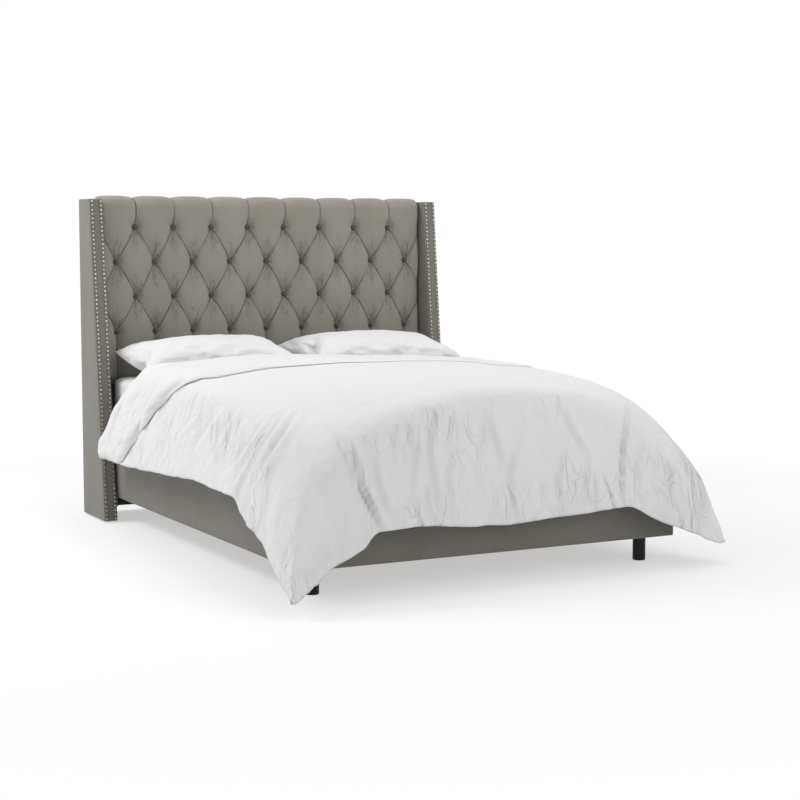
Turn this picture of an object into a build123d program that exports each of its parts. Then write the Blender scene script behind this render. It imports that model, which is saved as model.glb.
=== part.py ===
from build123d import *
import os
from math import cos, hypot, radians, sin

# Wingback bed with a diamond-tufted headboard, padded rails, slats and bedding
# Millimetres, +Z up and +Y towards the headboard; the origin is on the floor under the middle of the whole

# Mattress that the frame is built for, a standard queen
mattress_width = 1524
mattress_length = 2032
mattress_thickness = 305
mattress_corner_radius = 60
mattress_edge_chamfer = 22
mattress_play = 3
mattress_sink = 63.6

# Wings
wing_height = 1409
wing_thickness = 60
wing_top_depth = 155
wing_floor_depth = 300
wing_padding = 8
wing_edge_chamfer = 6
floor_glide_height = 4
floor_glide_radius = 11
floor_glide_inset = 45

# Headboard
rail_wing_gap = 10
back_cover_thickness = 1
back_cover_margin = 6
post_depth = 34
post_width = 90
cross_rail_height = 70
panel_thickness = 12
foam_thickness = 46
headboard_bottom = 24
tuft_panel_tuck = 35
tuft_panel_play = 2
scallop_valley_rise = 3
scallop_rise = 14
lower_cover_thickness = 3
mattress_head_gap = 4

# Diamond tufting
tuft_rows = 4
tuft_pitch_x = 181
tuft_side_margin = 50
tuft_top_row_drop = 123
tuft_low_row_rise = 199.5
crown_height = 33
crown_sink = 3
crown_levels_shares = ((0.975, 0.0), (0.90, 0.42), (0.76, 0.76), (0.52, 0.95), (0.26, 1.0))
button_radius = 14
button_height = 9
button_rim_height = 4
button_top_share = 0.55
button_facets = 8
button_play = 0.4

# Side rails and footboard
rail_height = 280
leg_height = 101.6
board_thickness = 19
cover_thickness = 3
cover_edge_radius = 5
cover_top_return = 40
cover_bottom_return = 25

# Slats and what carries them
slat_count = 12
slat_width = 68
slat_thickness = 19
slat_edge_chamfer = 3
slat_end_gap = 2
slat_first_inset = 60
cleat_width = 32
cleat_height = 30
beam_width = 35
beam_height = 70
hanger_thickness = 3
hanger_length = 50
hanger_plate_margin = 18
hanger_side_play = 0.5

# Centre legs with levelling feet
centre_leg_radius = 19
centre_leg_plate_width = 34
centre_leg_plate_length = 90
centre_leg_plate_thickness = 3
centre_leg_places_shares = (0.32, 0.68)
leveller_disc_radius = 21
leveller_disc_height = 12
leveller_stem_radius = 4
leveller_stem_length = 36
leveller_play = 0.1
leveller_bore_depth = 40

# Foot legs and corner blocks
leg_radius = 25
leg_bottom_chamfer = 2
leg_inset_side = 93
leg_inset_foot = 95
corner_block_size = 150
corner_block_thickness = 28
corner_block_cut = 60

# Corner brackets and bolts
bracket_leg = 60
bracket_height = 110
bracket_thickness = 3
bracket_bolt_spacing = 60
bracket_low_margin = 70
bolt_radius = 3
bolt_head_radius = 6
bolt_head_height = 4
bolt_play = 0.3
bolt_facets = 8
foot_bolt_length = 17
head_bolt_length = 42
leg_bolt_radius = 4
leg_bolt_head_radius = 7
leg_bolt_head_height = 6
leg_bolt_in_leg = 40
wing_bolt_radius = 4
wing_bolt_length = 78
wing_bolt_counterbore_radius = 10
wing_bolt_counterbore_depth = 20
wing_bolt_head_radius = 7
wing_bolt_head_height = 6
wing_bolt_heights_shares = (0.16, 0.5, 0.86)
hex_sides = 6
quarter_turn = 90

# Bedding
soft_gap = 0.3
sheet_thickness = 0.8
sheet_hem_height = 22
pillow_length = 764
pillow_depth = 448
pillow_crown = 116
pillow_belly = 62
pillow_seam = 5
pillow_drawn_in = 20
pillow_crown_facets = 6
pillow_belly_facets = 4
pillow_tilt_degrees = 7
pillow_gap = 16
pillow_head_gap = 42
pillow_stations_shares = ((-1, 0.02, 1), (-0.93, 0.30, 0.965), (-0.74, 0.74, 0.945), (-0.4, 0.96, 0.955),
                          (0, 1, 0.96), (0.4, 0.96, 0.955), (0.74, 0.74, 0.945), (0.93, 0.30, 0.965),
                          (1, 0.02, 1))

# Duvet, turned down at its head edge and hanging to points at the two foot corners
duvet_reach = 210
duvet_head_gap = 7
duvet_rise = 132
duvet_edge_rise_share = 0.80
duvet_rise_shares = ((0, 0.30), (0.012, 0.72), (0.04, 0.94), (0.10, 1.0), (0.20, 0.94), (0.262, 0.86),
                     (0.27, 0.62), (0.45, 0.66), (0.70, 0.66), (0.90, 0.60), (1.0, 0.52))
duvet_inner_line = 12
duvet_overlap = 10
duvet_top_facets = 8
duvet_mattress_play = 12
duvet_rail_play = 5
duvet_rail_top_play = 6
duvet_wall = 28
duvet_hem_wall = 20
duvet_shoulder_out = 40
duvet_shoulder_drop = 18
duvet_top_fall_share = 0.80
duvet_mid_drop_share = 0.62
duvet_mid_flare_share = 0.34
duvet_lean = 270
duvet_hem_reach = 168
duvet_drop = 345
side_stations_shares = ((0.0, 1.0, 1.04, 0.86), (0.055, 0.78, 0.98, 0.97), (0.12, 0.52, 1.06, 0.99),
                        (0.20, 0.28, 0.96, 0.96), (0.29, 0.12, 1.05, 0.91), (0.38, 0.04, 0.97, 0.91),
                        (0.48, 0, 1.07, 0.89), (0.58, 0, 0.96, 0.90), (0.68, 0, 1.06, 0.89),
                        (0.78, 0, 1.0, 0.92))
left_last_stations_shares = ((0.86, 0, 1.12, 0.98), (0.93, 0, 1.28, 1.02))
right_last_stations_shares = ((0.86, 0, 1.04, 0.96), (0.93, 0, 1.06, 1.02))
left_corner_stations_shares = ((0, 1.36, 1.13), (0.26, 1.48, 1.24), (0.5, 1.80, 1.53), (0.63, 2.10, 1.67),
                               (0.80, 1.66, 1.55), (1, 1.34, 1.42))
right_corner_stations_shares = ((1, 1.12, 1.32), (0.74, 1.40, 1.42), (0.5, 1.79, 1.55), (0.24, 1.34, 1.34),
                                (0, 1.12, 1.14))
foot_stations_shares = ((-0.85, 1.20, 1.29), (-0.74, 1.06, 1.16), (-0.58, 1.14, 1.10), (-0.40, 1.02, 1.13),
                        (-0.20, 1.12, 1.16), (0.0, 1.02, 1.15), (0.20, 1.12, 1.14), (0.42, 1.02, 1.13),
                        (0.60, 1.12, 1.13), (0.70, 0.98, 1.06), (0.82, 1.10, 1.19))

# Places that follow from the sizes above
foam_back_depth = back_cover_thickness + post_depth + panel_thickness
valley_depth = foam_back_depth + foam_thickness
mattress_head_depth = valley_depth + crown_height + mattress_head_gap
wrapped_board = board_thickness + 2 * cover_thickness
frame_length = mattress_head_depth + mattress_length + mattress_play + wrapped_board
overall_length = frame_length + duvet_reach
wall_y = overall_length / 2
foot_y = wall_y - frame_length
mattress_head_y = wall_y - mattress_head_depth
mattress_foot_y = mattress_head_y - mattress_length
board_front_y = foot_y + cover_thickness
board_back_y = board_front_y + board_thickness
board_inner_x = mattress_width / 2 + mattress_play + cover_thickness
board_outer_x = board_inner_x + board_thickness
rail_outer_x = board_outer_x + cover_thickness
rail_bottom_z = leg_height
rail_top_z = rail_bottom_z + rail_height
board_low_z = rail_bottom_z + cover_thickness
board_high_z = rail_top_z - cover_thickness
slat_top_z = rail_top_z - mattress_sink
slat_low_z = slat_top_z - slat_thickness
mattress_top_z = slat_top_z + mattress_thickness
sheet_top_z = mattress_top_z + soft_gap + sheet_thickness
bedding_z = sheet_top_z + soft_gap
lower_face_y = wall_y - foam_back_depth - lower_cover_thickness
wing_inner_x = rail_outer_x + rail_wing_gap
headboard_width = 2 * wing_inner_x
headboard_top_z = wing_height - wing_padding
tuft_panel_bottom = mattress_top_z - tuft_panel_tuck
tuft_pitch_z = (wing_height - tuft_top_row_drop - mattress_top_z - tuft_low_row_rise) / (tuft_rows - 1)
long_row_buttons = 2 * int((wing_inner_x - tuft_side_margin) / tuft_pitch_x) + 1
overrun = 10


def box_between(x, y, z):
    """Box between two limits along each axis."""
    size = Box(abs(x[1] - x[0]), abs(y[1] - y[0]), abs(z[1] - z[0]))
    return Pos(sum(x) / 2, sum(y) / 2, sum(z) / 2) * size


def polygon_face(points):
    """Flat face through the points of its outline."""
    return Face(Wire.make_polygon([Vector(*point) for point in points], close=True))


def solid_through(rings):
    """Faceted solid through closed rings of points, which have the same number of points each."""
    faces = [polygon_face(rings[0]), polygon_face(rings[-1])]
    for ring, following in zip(rings, rings[1:]):
        for i in range(len(ring)):
            faces.append(polygon_face([ring[i - 1], ring[i], following[i]]))
            faces.append(polygon_face([ring[i - 1], following[i], following[i - 1]]))
    return Solid(Shell(faces))


def on_both_sides(shape):
    """A right-hand piece and its mirror image on the left."""
    return {"right": shape, "left": mirror(shape, about=Plane.YZ)}


def bolt(radius, length, head_radius, head_height):
    """Bolt whose shank runs down from the origin, with a hexagon head above."""
    shank = Pos(0, 0, -length) * extrude(RegularPolygon(radius, side_count=bolt_facets), length)
    head = extrude(RegularPolygon(head_radius, side_count=hex_sides), head_height)
    return shank + head


def bolt_space(radius, length, play):
    """Hole for a bolt's shank, running a little past both ends."""
    space = extrude(RegularPolygon(radius + play, side_count=bolt_facets), length + 2 * play)
    return Pos(0, 0, -length - play) * space


# Headboard

def scallop_xs():
    """Places of the pleats along the top edge, from wing to wing."""
    half = headboard_width / 2 - tuft_panel_play
    return [-half] + row_xs(0) + [half]


def row_xs(row):
    """Places of the buttons of a row; long and short rows alternate."""
    count = long_row_buttons if row % 2 else long_row_buttons - 1
    return [(i - (count - 1) / 2) * tuft_pitch_x for i in range(count)]


def row_z(row):
    """Height of a row of buttons, counted down from the top."""
    return wing_height - tuft_top_row_drop - row * tuft_pitch_z


def tuft_cells():
    """Outlines of the padded cells between the buttons, as x and z points."""
    half = headboard_width / 2 - tuft_panel_play
    top = wing_height + scallop_valley_rise + scallop_rise / 2
    rows = [(row_xs(row), row_z(row)) for row in range(tuft_rows)]
    cells = []
    edges = [-half] + rows[0][0] + [half]
    for left, right in zip(edges, edges[1:]):
        between = [(x, rows[1][1]) for x in rows[1][0] if left < x < right]
        sides = [(x, rows[0][1]) for x in (right, left)]
        cells.append([(left, top), (right, top), sides[0]] + between + [sides[1]])
    for row in range(1, tuft_rows - 1):
        above, level, below = rows[row - 1], rows[row], rows[row + 1]
        for x in above[0]:
            sides = [x + tuft_pitch_x / 2, x - tuft_pitch_x / 2]
            cells.append([(x, above[1]), (min(sides[0], half), level[1]),
                          (x, below[1]), (max(sides[1], -half), level[1])])
    half_row = rows[2]
    for side in (-1, 1):
        corner = side * rows[1][0][-1]
        cells.append([(corner, rows[1][1]), (side * half, rows[1][1] - tuft_pitch_z / 2),
                      (side * half, rows[3][1] + tuft_pitch_z / 2), (corner, rows[3][1]),
                      (side * half_row[0][-1], half_row[1])])
    low = [-half] + rows[3][0] + [half]
    for left, right in zip(low, low[1:]):
        between = [(x, rows[2][1]) for x in rows[2][0] if left < x < right]
        cells.append([(left, rows[3][1])] + between + [(right, rows[3][1]), (right, tuft_panel_bottom),
                                                       (left, tuft_panel_bottom)])
    return cells


def crowned_cell(outline):
    """Padded cell: its outline shrinks about its middle as it rises to the crown."""
    middle_x = (min(x for x, z in outline) + max(x for x, z in outline)) / 2
    middle_z = (min(z for x, z in outline) + max(z for x, z in outline)) / 2
    rings = []
    for size_share, rise_share in crown_levels_shares:
        depth = valley_depth - crown_sink + (crown_height + crown_sink) * rise_share
        rings.append([(middle_x + (x - middle_x) * size_share, wall_y - depth,
                       middle_z + (z - middle_z) * size_share) for x, z in outline])
    return solid_through(rings)


def button_places():
    """Centres of all buttons on the valley plane."""
    return [(x, wall_y - valley_depth, row_z(row)) for row in range(tuft_rows) for x in row_xs(row)]


def tufted_cover():
    """Foam and cloth of the headboard: scalloped slab, crowned cells and a dimple under each button."""
    back_y, front_y = wall_y - foam_back_depth, wall_y - valley_depth
    valley_z = wing_height + scallop_valley_rise
    xs = scallop_xs()
    edges = [ThreePointArc((left, back_y, valley_z), ((left + right) / 2, back_y, valley_z + scallop_rise),
                           (right, back_y, valley_z)) for left, right in zip(xs, xs[1:])]
    corners = [(xs[-1], back_y, valley_z), (xs[-1], back_y, tuft_panel_bottom),
               (xs[0], back_y, tuft_panel_bottom), (xs[0], back_y, valley_z)]
    edges += [Line(start, end) for start, end in zip(corners, corners[1:])]
    slab = extrude(make_face(edges), foam_thickness, dir=(0, -1, 0))
    padded = slab.fuse(*[crowned_cell(outline) for outline in tuft_cells()])
    dimple = extrude(RegularPolygon(button_radius + button_play, side_count=button_facets), 2 * crown_height)
    dimples = [Pos(*place) * Rot(quarter_turn, 0, 0) * dimple for place in button_places()]
    return padded.cut(*[shape.solid() for shape in dimples])


def tuft_buttons():
    """Covered buttons, flat behind and domed in front."""
    rim = RegularPolygon(button_radius, side_count=button_facets)
    top = RegularPolygon(button_radius * button_top_share, side_count=button_facets)
    sections = [rim, Pos(0, 0, button_rim_height) * rim, Pos(0, 0, button_height) * top]
    button = Rot(quarter_turn, 0, 0) * loft(sections, ruled=True)
    return Compound(children=[Pos(*place) * button for place in button_places()])


def wing_bolt_holes(side):
    """Holes for the bolts that hold a wing to its headboard post, with counterbores in the post."""
    seat_x = wing_inner_x - post_width + wing_bolt_counterbore_depth
    holes = []
    for place in wing_bolt_places():
        shank = bolt_space(wing_bolt_radius, wing_bolt_length, bolt_play)
        depth = wing_bolt_counterbore_depth
        mouth = extrude(RegularPolygon(wing_bolt_counterbore_radius, side_count=bolt_facets), 2 * depth)
        holes.append(Pos(seat_x, *place) * Rot(0, -quarter_turn, 0) * (shank + mouth))
    return [mirror(hole, about=Plane.YZ) for hole in holes] if side < 0 else holes


def wing_bolt_places():
    """Distances from the wall and heights of the wing bolts."""
    return [(wall_y - back_cover_thickness - post_depth / 2, share * wing_height)
            for share in wing_bolt_heights_shares]


def wing_bolts():
    """Three bolts through each headboard post into its wing."""
    seat_x = wing_inner_x - post_width + wing_bolt_counterbore_depth
    one = bolt(wing_bolt_radius, wing_bolt_length, wing_bolt_head_radius, wing_bolt_head_height)
    right = [Pos(seat_x, *place) * Rot(0, -quarter_turn, 0) * one for place in wing_bolt_places()]
    return Compound(children=right + [mirror(shape, about=Plane.YZ) for shape in right])


def headboard_frame():
    """Posts, cross rails and panel behind the padding."""
    back = wall_y - back_cover_thickness
    depth = (back - post_depth, back)
    post = box_between((wing_inner_x - post_width, wing_inner_x), depth, (headboard_bottom, headboard_top_z))
    for hole in wing_bolt_holes(1):
        post -= hole
    for place in head_bolt_places():
        post -= Pos(*place) * Rot(quarter_turn, 0, 0) * bolt_space(bolt_radius, head_bolt_length, bolt_play)
    pieces = {"headboard_post_" + side: shape for side, shape in on_both_sides(post).items()}
    inner = wing_inner_x - post_width
    lows = {"top": headboard_top_z - cross_rail_height, "middle": tuft_panel_bottom, "bottom": leg_height}
    for name, low in lows.items():
        pieces["headboard_%s_rail" % name] = box_between((-inner, inner), depth, (low, low + cross_rail_height))
    panel_back = back - post_depth
    panel = box_between((-wing_inner_x, wing_inner_x), (panel_back - panel_thickness, panel_back),
                        (leg_height, headboard_top_z))
    pieces["headboard_panel"] = cut_head_bolts(panel)
    return pieces


def cut_head_bolts(shape):
    """Clear the bolts that come through from the rails' head brackets."""
    for x, y, z in head_bolt_places():
        for side in (1, -1):
            space = Rot(quarter_turn, 0, 0) * bolt_space(bolt_radius, head_bolt_length, bolt_play)
            shape -= Pos(side * x, y, z) * space
    return shape


def lower_cover():
    """Plain cloth below the tufted part of the headboard."""
    x = wing_inner_x - tuft_panel_play
    return cut_head_bolts(box_between((-x, x), (lower_face_y, lower_face_y + lower_cover_thickness),
                                      (leg_height, tuft_panel_bottom - lower_cover_thickness)))


def back_cover():
    """Dust cloth over the back of the headboard."""
    x = wing_inner_x - back_cover_margin
    return box_between((-x, x), (wall_y - back_cover_thickness, wall_y),
                       (headboard_bottom, headboard_top_z - back_cover_margin))


# Wings

def wing_solid(inset):
    """Wing with its front edge slanting forward to the floor, drawn in all round by an inset."""
    slant = (wing_floor_depth - wing_top_depth) / wing_height
    low, high = floor_glide_height, wing_height - inset
    front = {z: wall_y - wing_floor_depth + slant * z + inset * hypot(1, slant) for z in (low, high)}
    back = wall_y - inset
    x = wing_inner_x + inset
    outline = [(x, back, low), (x, back, high), (x, front[high], high), (x, front[low], low)]
    return extrude(polygon_face(outline), wing_thickness - 2 * inset, dir=(1, 0, 0))


def wings():
    """Core and padded cover of each wing."""
    core = wing_solid(wing_padding)
    outside = wing_solid(0)
    edges = [edge for edge in outside.edges() if edge.center().Z > floor_glide_height + wing_edge_chamfer]
    cover = chamfer(edges, wing_edge_chamfer) - core
    for hole in wing_bolt_holes(1):
        core -= hole
        cover -= hole
    pieces = {"wing_core_" + side: shape for side, shape in on_both_sides(core).items()}
    pieces.update({"wing_cover_" + side: shape for side, shape in on_both_sides(cover).items()})
    return pieces


def floor_glides():
    """Round glides that lift the wings' cloth off the floor."""
    x = wing_inner_x + wing_thickness / 2
    ys = (wall_y - floor_glide_inset, wall_y - wing_floor_depth + floor_glide_inset)
    glide = Cylinder(floor_glide_radius, floor_glide_height)
    return Compound(children=[Pos(side * x, y, floor_glide_height / 2) * glide
                              for side in (1, -1) for y in ys])


# Rails and footboard

def side_bolt_places(bracket_y, away):
    """Bolt seats on a bracket's leg along the right-hand rail."""
    x = board_inner_x - bracket_thickness
    y = bracket_y + away * bracket_leg * 2 / 3
    low = rail_bottom_z + bracket_low_margin + (bracket_height - bracket_bolt_spacing) / 2
    return [(x, y, low), (x, y, low + bracket_bolt_spacing)]


def head_bolt_places():
    """Bolt seats on the head bracket's leg across the headboard, right-hand side."""
    x = board_inner_x - bracket_leg * 2 / 3
    low = rail_bottom_z + bracket_low_margin + (bracket_height - bracket_bolt_spacing) / 2
    return [(x, lower_face_y - bracket_thickness, z) for z in (low, low + bracket_bolt_spacing)]


def foot_bolt_places():
    """Bolt seats on the foot bracket's leg across the footboard, right-hand side."""
    return [(x, board_back_y + bracket_thickness, z) for x, y, z in head_bolt_places()]


def wrapped_board_cover(outer, board, window):
    """Padded cloth round a board, open on its inner face below the returns."""
    return outer - board - window


def side_rails():
    """Boards of the side rails, with bolt holes, and their padded covers."""
    length = (board_back_y, lower_face_y)
    board = box_between((board_inner_x, board_outer_x), length, (board_low_z, board_high_z))
    whole = box_between((board_inner_x - cover_thickness, rail_outer_x), length, (rail_bottom_z, rail_top_z))
    outer_edges = [edge for edge in whole.edges().filter_by(Axis.Y) if edge.center().X > board_outer_x]
    rounded = fillet(outer_edges, cover_edge_radius)
    window = box_between((board_inner_x - cover_thickness - overrun, board_inner_x),
                         (length[0] - overrun, length[1] + overrun),
                         (rail_bottom_z + cover_bottom_return, rail_top_z - cover_top_return))
    cover = wrapped_board_cover(rounded, board, window)
    for y, away in ((lower_face_y, -1), (board_back_y, 1)):
        for place in side_bolt_places(y, away):
            board -= Pos(*place) * Rot(0, -quarter_turn, 0) * bolt_space(bolt_radius, foot_bolt_length, bolt_play)
    pieces = {"side_rail_board_" + side: shape for side, shape in on_both_sides(board).items()}
    pieces.update({"side_rail_cover_" + side: shape for side, shape in on_both_sides(cover).items()})
    return pieces


def footboard():
    """Board and padded cover of the low footboard."""
    board = box_between((-board_outer_x, board_outer_x), (board_front_y, board_back_y),
                        (board_low_z, board_high_z))
    whole = box_between((-rail_outer_x, rail_outer_x), (foot_y, board_back_y + cover_thickness),
                        (rail_bottom_z, rail_top_z))
    front_edges = [edge for edge in whole.edges() if edge.center().Y < foot_y + cover_thickness]
    rounded = fillet(front_edges, cover_edge_radius)
    inner = board_inner_x - cover_thickness
    window = box_between((-inner, inner), (board_back_y, board_back_y + cover_thickness + overrun),
                         (rail_bottom_z + cover_bottom_return, rail_top_z - cover_top_return))
    ends = box_between((inner, rail_outer_x + overrun), (board_back_y, board_back_y + cover_thickness + overrun),
                       (rail_bottom_z - overrun, rail_top_z + overrun))
    cover = wrapped_board_cover(rounded, board, window) - ends - mirror(ends, about=Plane.YZ)
    for x, y, z in foot_bolt_places():
        for side in (1, -1):
            space = Rot(-quarter_turn, 0, 0) * bolt_space(bolt_radius, foot_bolt_length, bolt_play)
            board -= Pos(side * x, y, z) * space
    return {"footboard_board": board, "footboard_cover": cover}


def corner_brackets():
    """Steel angles that bolt the side rails to the headboard and the footboard."""
    low = rail_bottom_z + bracket_low_margin
    height = (low, low + bracket_height)
    pieces = {}
    ends = {"head": (lower_face_y, -1, head_bolt_places(), quarter_turn),
            "foot": (board_back_y, 1, foot_bolt_places(), -quarter_turn)}
    for end, (seat_y, away, cross_places, turn) in ends.items():
        along = box_between((board_inner_x - bracket_thickness, board_inner_x),
                            (seat_y, seat_y + away * bracket_leg), height)
        across = box_between((board_inner_x - bracket_leg, board_inner_x),
                             (seat_y, seat_y + away * bracket_thickness), height)
        angle = along + across
        for place in side_bolt_places(seat_y, away):
            angle -= Pos(*place) * Rot(0, -quarter_turn, 0) * bolt_space(bolt_radius, foot_bolt_length, bolt_play)
        for place in cross_places:
            angle -= Pos(*place) * Rot(turn, 0, 0) * bolt_space(bolt_radius, foot_bolt_length, bolt_play)
        for side, shape in on_both_sides(angle).items():
            pieces["%s_bracket_%s" % (end, side)] = shape
    return pieces


def bracket_bolts():
    """Bolts of the four corner brackets."""
    short = bolt(bolt_radius, foot_bolt_length, bolt_head_radius, bolt_head_height)
    long = bolt(bolt_radius, head_bolt_length, bolt_head_radius, bolt_head_height)
    right = []
    for y, away in ((lower_face_y, -1), (board_back_y, 1)):
        right += [Pos(*place) * Rot(0, -quarter_turn, 0) * short for place in side_bolt_places(y, away)]
    right += [Pos(*place) * Rot(quarter_turn, 0, 0) * long for place in head_bolt_places()]
    right += [Pos(*place) * Rot(-quarter_turn, 0, 0) * short for place in foot_bolt_places()]
    return Compound(children=right + [mirror(shape, about=Plane.YZ) for shape in right])


# Slats, cleats and centre beam

def slat_ys():
    """Places of the slats along the bed."""
    first = mattress_head_y - slat_first_inset
    last = mattress_foot_y + slat_first_inset
    return [first + (last - first) * i / (slat_count - 1) for i in range(slat_count)]


def slats():
    """Flat slats with eased edges, numbered from the head."""
    length = 2 * (board_inner_x - slat_end_gap)
    outline = Rectangle(slat_width, slat_thickness)
    profile = Plane.YZ * chamfer(outline.vertices(), slat_edge_chamfer)
    slat = Pos(-length / 2, 0, slat_low_z + slat_thickness / 2) * extrude(profile, length, dir=(1, 0, 0))
    return {"slat_%02d" % (i + 1): Pos(0, y, 0) * slat for i, y in enumerate(slat_ys())}


def cleats():
    """Ledges on the side rails that carry the slats' ends."""
    foot = board_back_y + hanger_thickness + bolt_head_height + overrun
    head = lower_face_y - hanger_thickness - bolt_head_height - overrun
    cleat = box_between((board_inner_x - cleat_width, board_inner_x), (foot, head),
                        (slat_low_z - cleat_height, slat_low_z))
    low = rail_bottom_z + bracket_low_margin
    for seat_y, away in ((lower_face_y, -1), (board_back_y, 1)):
        reach = bracket_leg + overrun / 2
        notch = box_between((board_inner_x - cleat_width - overrun, board_inner_x + overrun),
                            (seat_y - overrun * away, seat_y + away * reach),
                            (low, low + bracket_height + overrun / 2))
        cleat -= notch
    return {"slat_cleat_" + side: shape for side, shape in on_both_sides(cleat).items()}


def beam_hanger(seat_y, away):
    """Steel stirrup on an end board that holds one end of the centre beam."""
    half = beam_width / 2 + hanger_side_play
    low = slat_low_z - beam_height
    outer = half + hanger_thickness
    plate = box_between((-outer - hanger_plate_margin, outer + hanger_plate_margin),
                        (seat_y, seat_y + away * hanger_thickness), (low - hanger_thickness, slat_low_z))
    cup = box_between((-outer, outer), (seat_y, seat_y + away * hanger_length),
                      (low - hanger_thickness, slat_low_z - hanger_thickness))
    room = box_between((-half, half), (seat_y + away * hanger_thickness, seat_y + away * (hanger_length + overrun)),
                       (low, slat_low_z))
    return plate + cup - room


def centre_beam():
    """Beam under the middle of the slats."""
    return box_between((-beam_width / 2, beam_width / 2),
                       (board_back_y + hanger_thickness, lower_face_y - hanger_thickness),
                       (slat_low_z - beam_height, slat_low_z))


def centre_leg_ys():
    """Places of the centre legs along the beam."""
    return {name: mattress_head_y - share * mattress_length
            for name, share in zip(("head", "foot"), centre_leg_places_shares)}


def centre_legs():
    """Steel centre legs with a plate under the beam and a levelling foot in the bottom."""
    top = slat_low_z - beam_height
    tube = (leveller_disc_height, top - centre_leg_plate_thickness)
    pieces = {}
    for name, y in centre_leg_ys().items():
        leg = Pos(0, y, sum(tube) / 2) * Cylinder(centre_leg_radius, tube[1] - tube[0])
        leg += box_between((-centre_leg_plate_width / 2, centre_leg_plate_width / 2),
                           (y - centre_leg_plate_length / 2, y + centre_leg_plate_length / 2), (tube[1], top))
        bore = Cylinder(leveller_stem_radius + leveller_play, leveller_bore_depth + overrun)
        leg -= Pos(0, y, tube[0] + (leveller_bore_depth - overrun) / 2) * bore
        pieces["centre_leg_" + name] = leg
        disc = Pos(0, y, leveller_disc_height / 2) * Cylinder(leveller_disc_radius, leveller_disc_height)
        stem = Pos(0, y, leveller_disc_height + leveller_stem_length / 2)
        pieces["levelling_foot_" + name] = disc + stem * Cylinder(leveller_stem_radius, leveller_stem_length)
    return pieces


# Foot legs

def foot_leg_place():
    """Axis of the right-hand foot leg."""
    return rail_outer_x - leg_inset_side, foot_y + leg_inset_foot


def foot_legs():
    """Turned legs under the corner blocks, with their bolts."""
    leg = Pos(0, 0, leg_height / 2) * Cylinder(leg_radius, leg_height)
    leg = chamfer(leg.edges().group_by(Axis.Z)[0], leg_bottom_chamfer)
    leg -= Pos(0, 0, leg_height) * bolt_space(leg_bolt_radius, leg_bolt_in_leg, bolt_play)
    x, y = foot_leg_place()
    block_x, block_y = board_inner_x, board_back_y
    block_z = (leg_height, leg_height + corner_block_thickness)
    block = box_between((block_x - corner_block_size, block_x), (block_y, block_y + corner_block_size), block_z)
    inner = (block_x - corner_block_size, block_y + corner_block_size)
    block -= extrude(polygon_face([(inner[0], inner[1], block_z[0]),
                                   (inner[0] + corner_block_cut, inner[1], block_z[0]),
                                   (inner[0], inner[1] - corner_block_cut, block_z[0])]),
                     corner_block_thickness, dir=(0, 0, 1))
    lip_x = (block_x - cover_thickness, block_x)
    lip_y = (block_y, block_y + cover_thickness)
    lip_z = (block_z[0], rail_bottom_z + cover_bottom_return)
    block -= box_between(lip_x, (block_y, block_y + corner_block_size), lip_z)
    block -= box_between((block_x - corner_block_size, block_x), lip_y, lip_z)
    through = corner_block_thickness + leg_bolt_in_leg
    block -= Pos(x, y, block_z[1]) * bolt_space(leg_bolt_radius, through, bolt_play)
    leg_bolt = Pos(x, y, block_z[1]) * bolt(leg_bolt_radius, through - bolt_play, leg_bolt_head_radius,
                                            leg_bolt_head_height)
    pieces = {"foot_leg_" + side: shape for side, shape in on_both_sides(Pos(x, y, 0) * leg).items()}
    pieces.update({"corner_block_" + side: shape for side, shape in on_both_sides(block).items()})
    pieces["leg_bolts"] = Compound(children=list(on_both_sides(leg_bolt).values()))
    return pieces


# Bedding

def mattress_shape(grow):
    """Mattress with round corners and an eased top edge, larger all round by an amount."""
    outline = RectangleRounded(mattress_width + 2 * grow, mattress_length + 2 * grow,
                               mattress_corner_radius + grow)
    place = Pos(0, mattress_head_y - mattress_length / 2, slat_top_z)
    block = place * extrude(outline, mattress_thickness + grow)
    top_edges = block.edges().group_by(Axis.Z)[-1]
    return chamfer(top_edges, mattress_edge_chamfer)


def fitted_sheet():
    """Thin sheet over the mattress, with its hem above the slats."""
    shell = mattress_shape(soft_gap + sheet_thickness) - mattress_shape(soft_gap)
    hem_z = slat_top_z + sheet_hem_height
    under = box_between((-mattress_width, mattress_width), (mattress_foot_y - mattress_width, wall_y),
                        (slat_top_z - overrun, hem_z))
    return shell - under


def pillow_ring(x, height_share, depth_share):
    """Lens of a pillow across its length: crown curve above, flatter belly curve below, seam at the ends."""
    half = pillow_depth / 2 * depth_share
    points = []
    for side, facets, bulge in ((1, pillow_crown_facets, pillow_crown), (-1, pillow_belly_facets, pillow_belly)):
        for i in range(facets + 1):
            across = side * (2 * i / facets - 1)
            points.append((x, half * across, side * (pillow_seam / 2 + bulge * height_share * (1 - across ** 2))))
    return points


def pillow():
    """Crowned pillow with its short sides drawn in between the corners."""
    half = pillow_length / 2
    body = solid_through([pillow_ring(half * place, height, depth)
                          for place, height, depth in pillow_stations_shares])
    for side in (1, -1):
        outer, inner = side * half, side * (half - pillow_drawn_in)
        bite = polygon_face([(outer, -pillow_depth / 2, -pillow_depth), (inner, -pillow_depth / 6, -pillow_depth),
                             (inner, pillow_depth / 6, -pillow_depth), (outer, pillow_depth / 2, -pillow_depth)])
        body -= extrude(bite, 2 * pillow_depth, dir=(0, 0, 1))
    return body


def pillows():
    """Two pillows side by side, leaning a little on the headboard side."""
    tilted = Rot(pillow_tilt_degrees, 0, 0) * pillow()
    box = tilted.bounding_box()
    place_y = wall_y - valley_depth - crown_height - pillow_head_gap - box.max.Y
    place_z = bedding_z - box.min.Z
    x = (pillow_length + pillow_gap) / 2
    return {"pillow_" + side: Pos(sign * x, place_y, place_z) * tilted
            for side, sign in (("left", -1), ("right", 1))}


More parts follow.
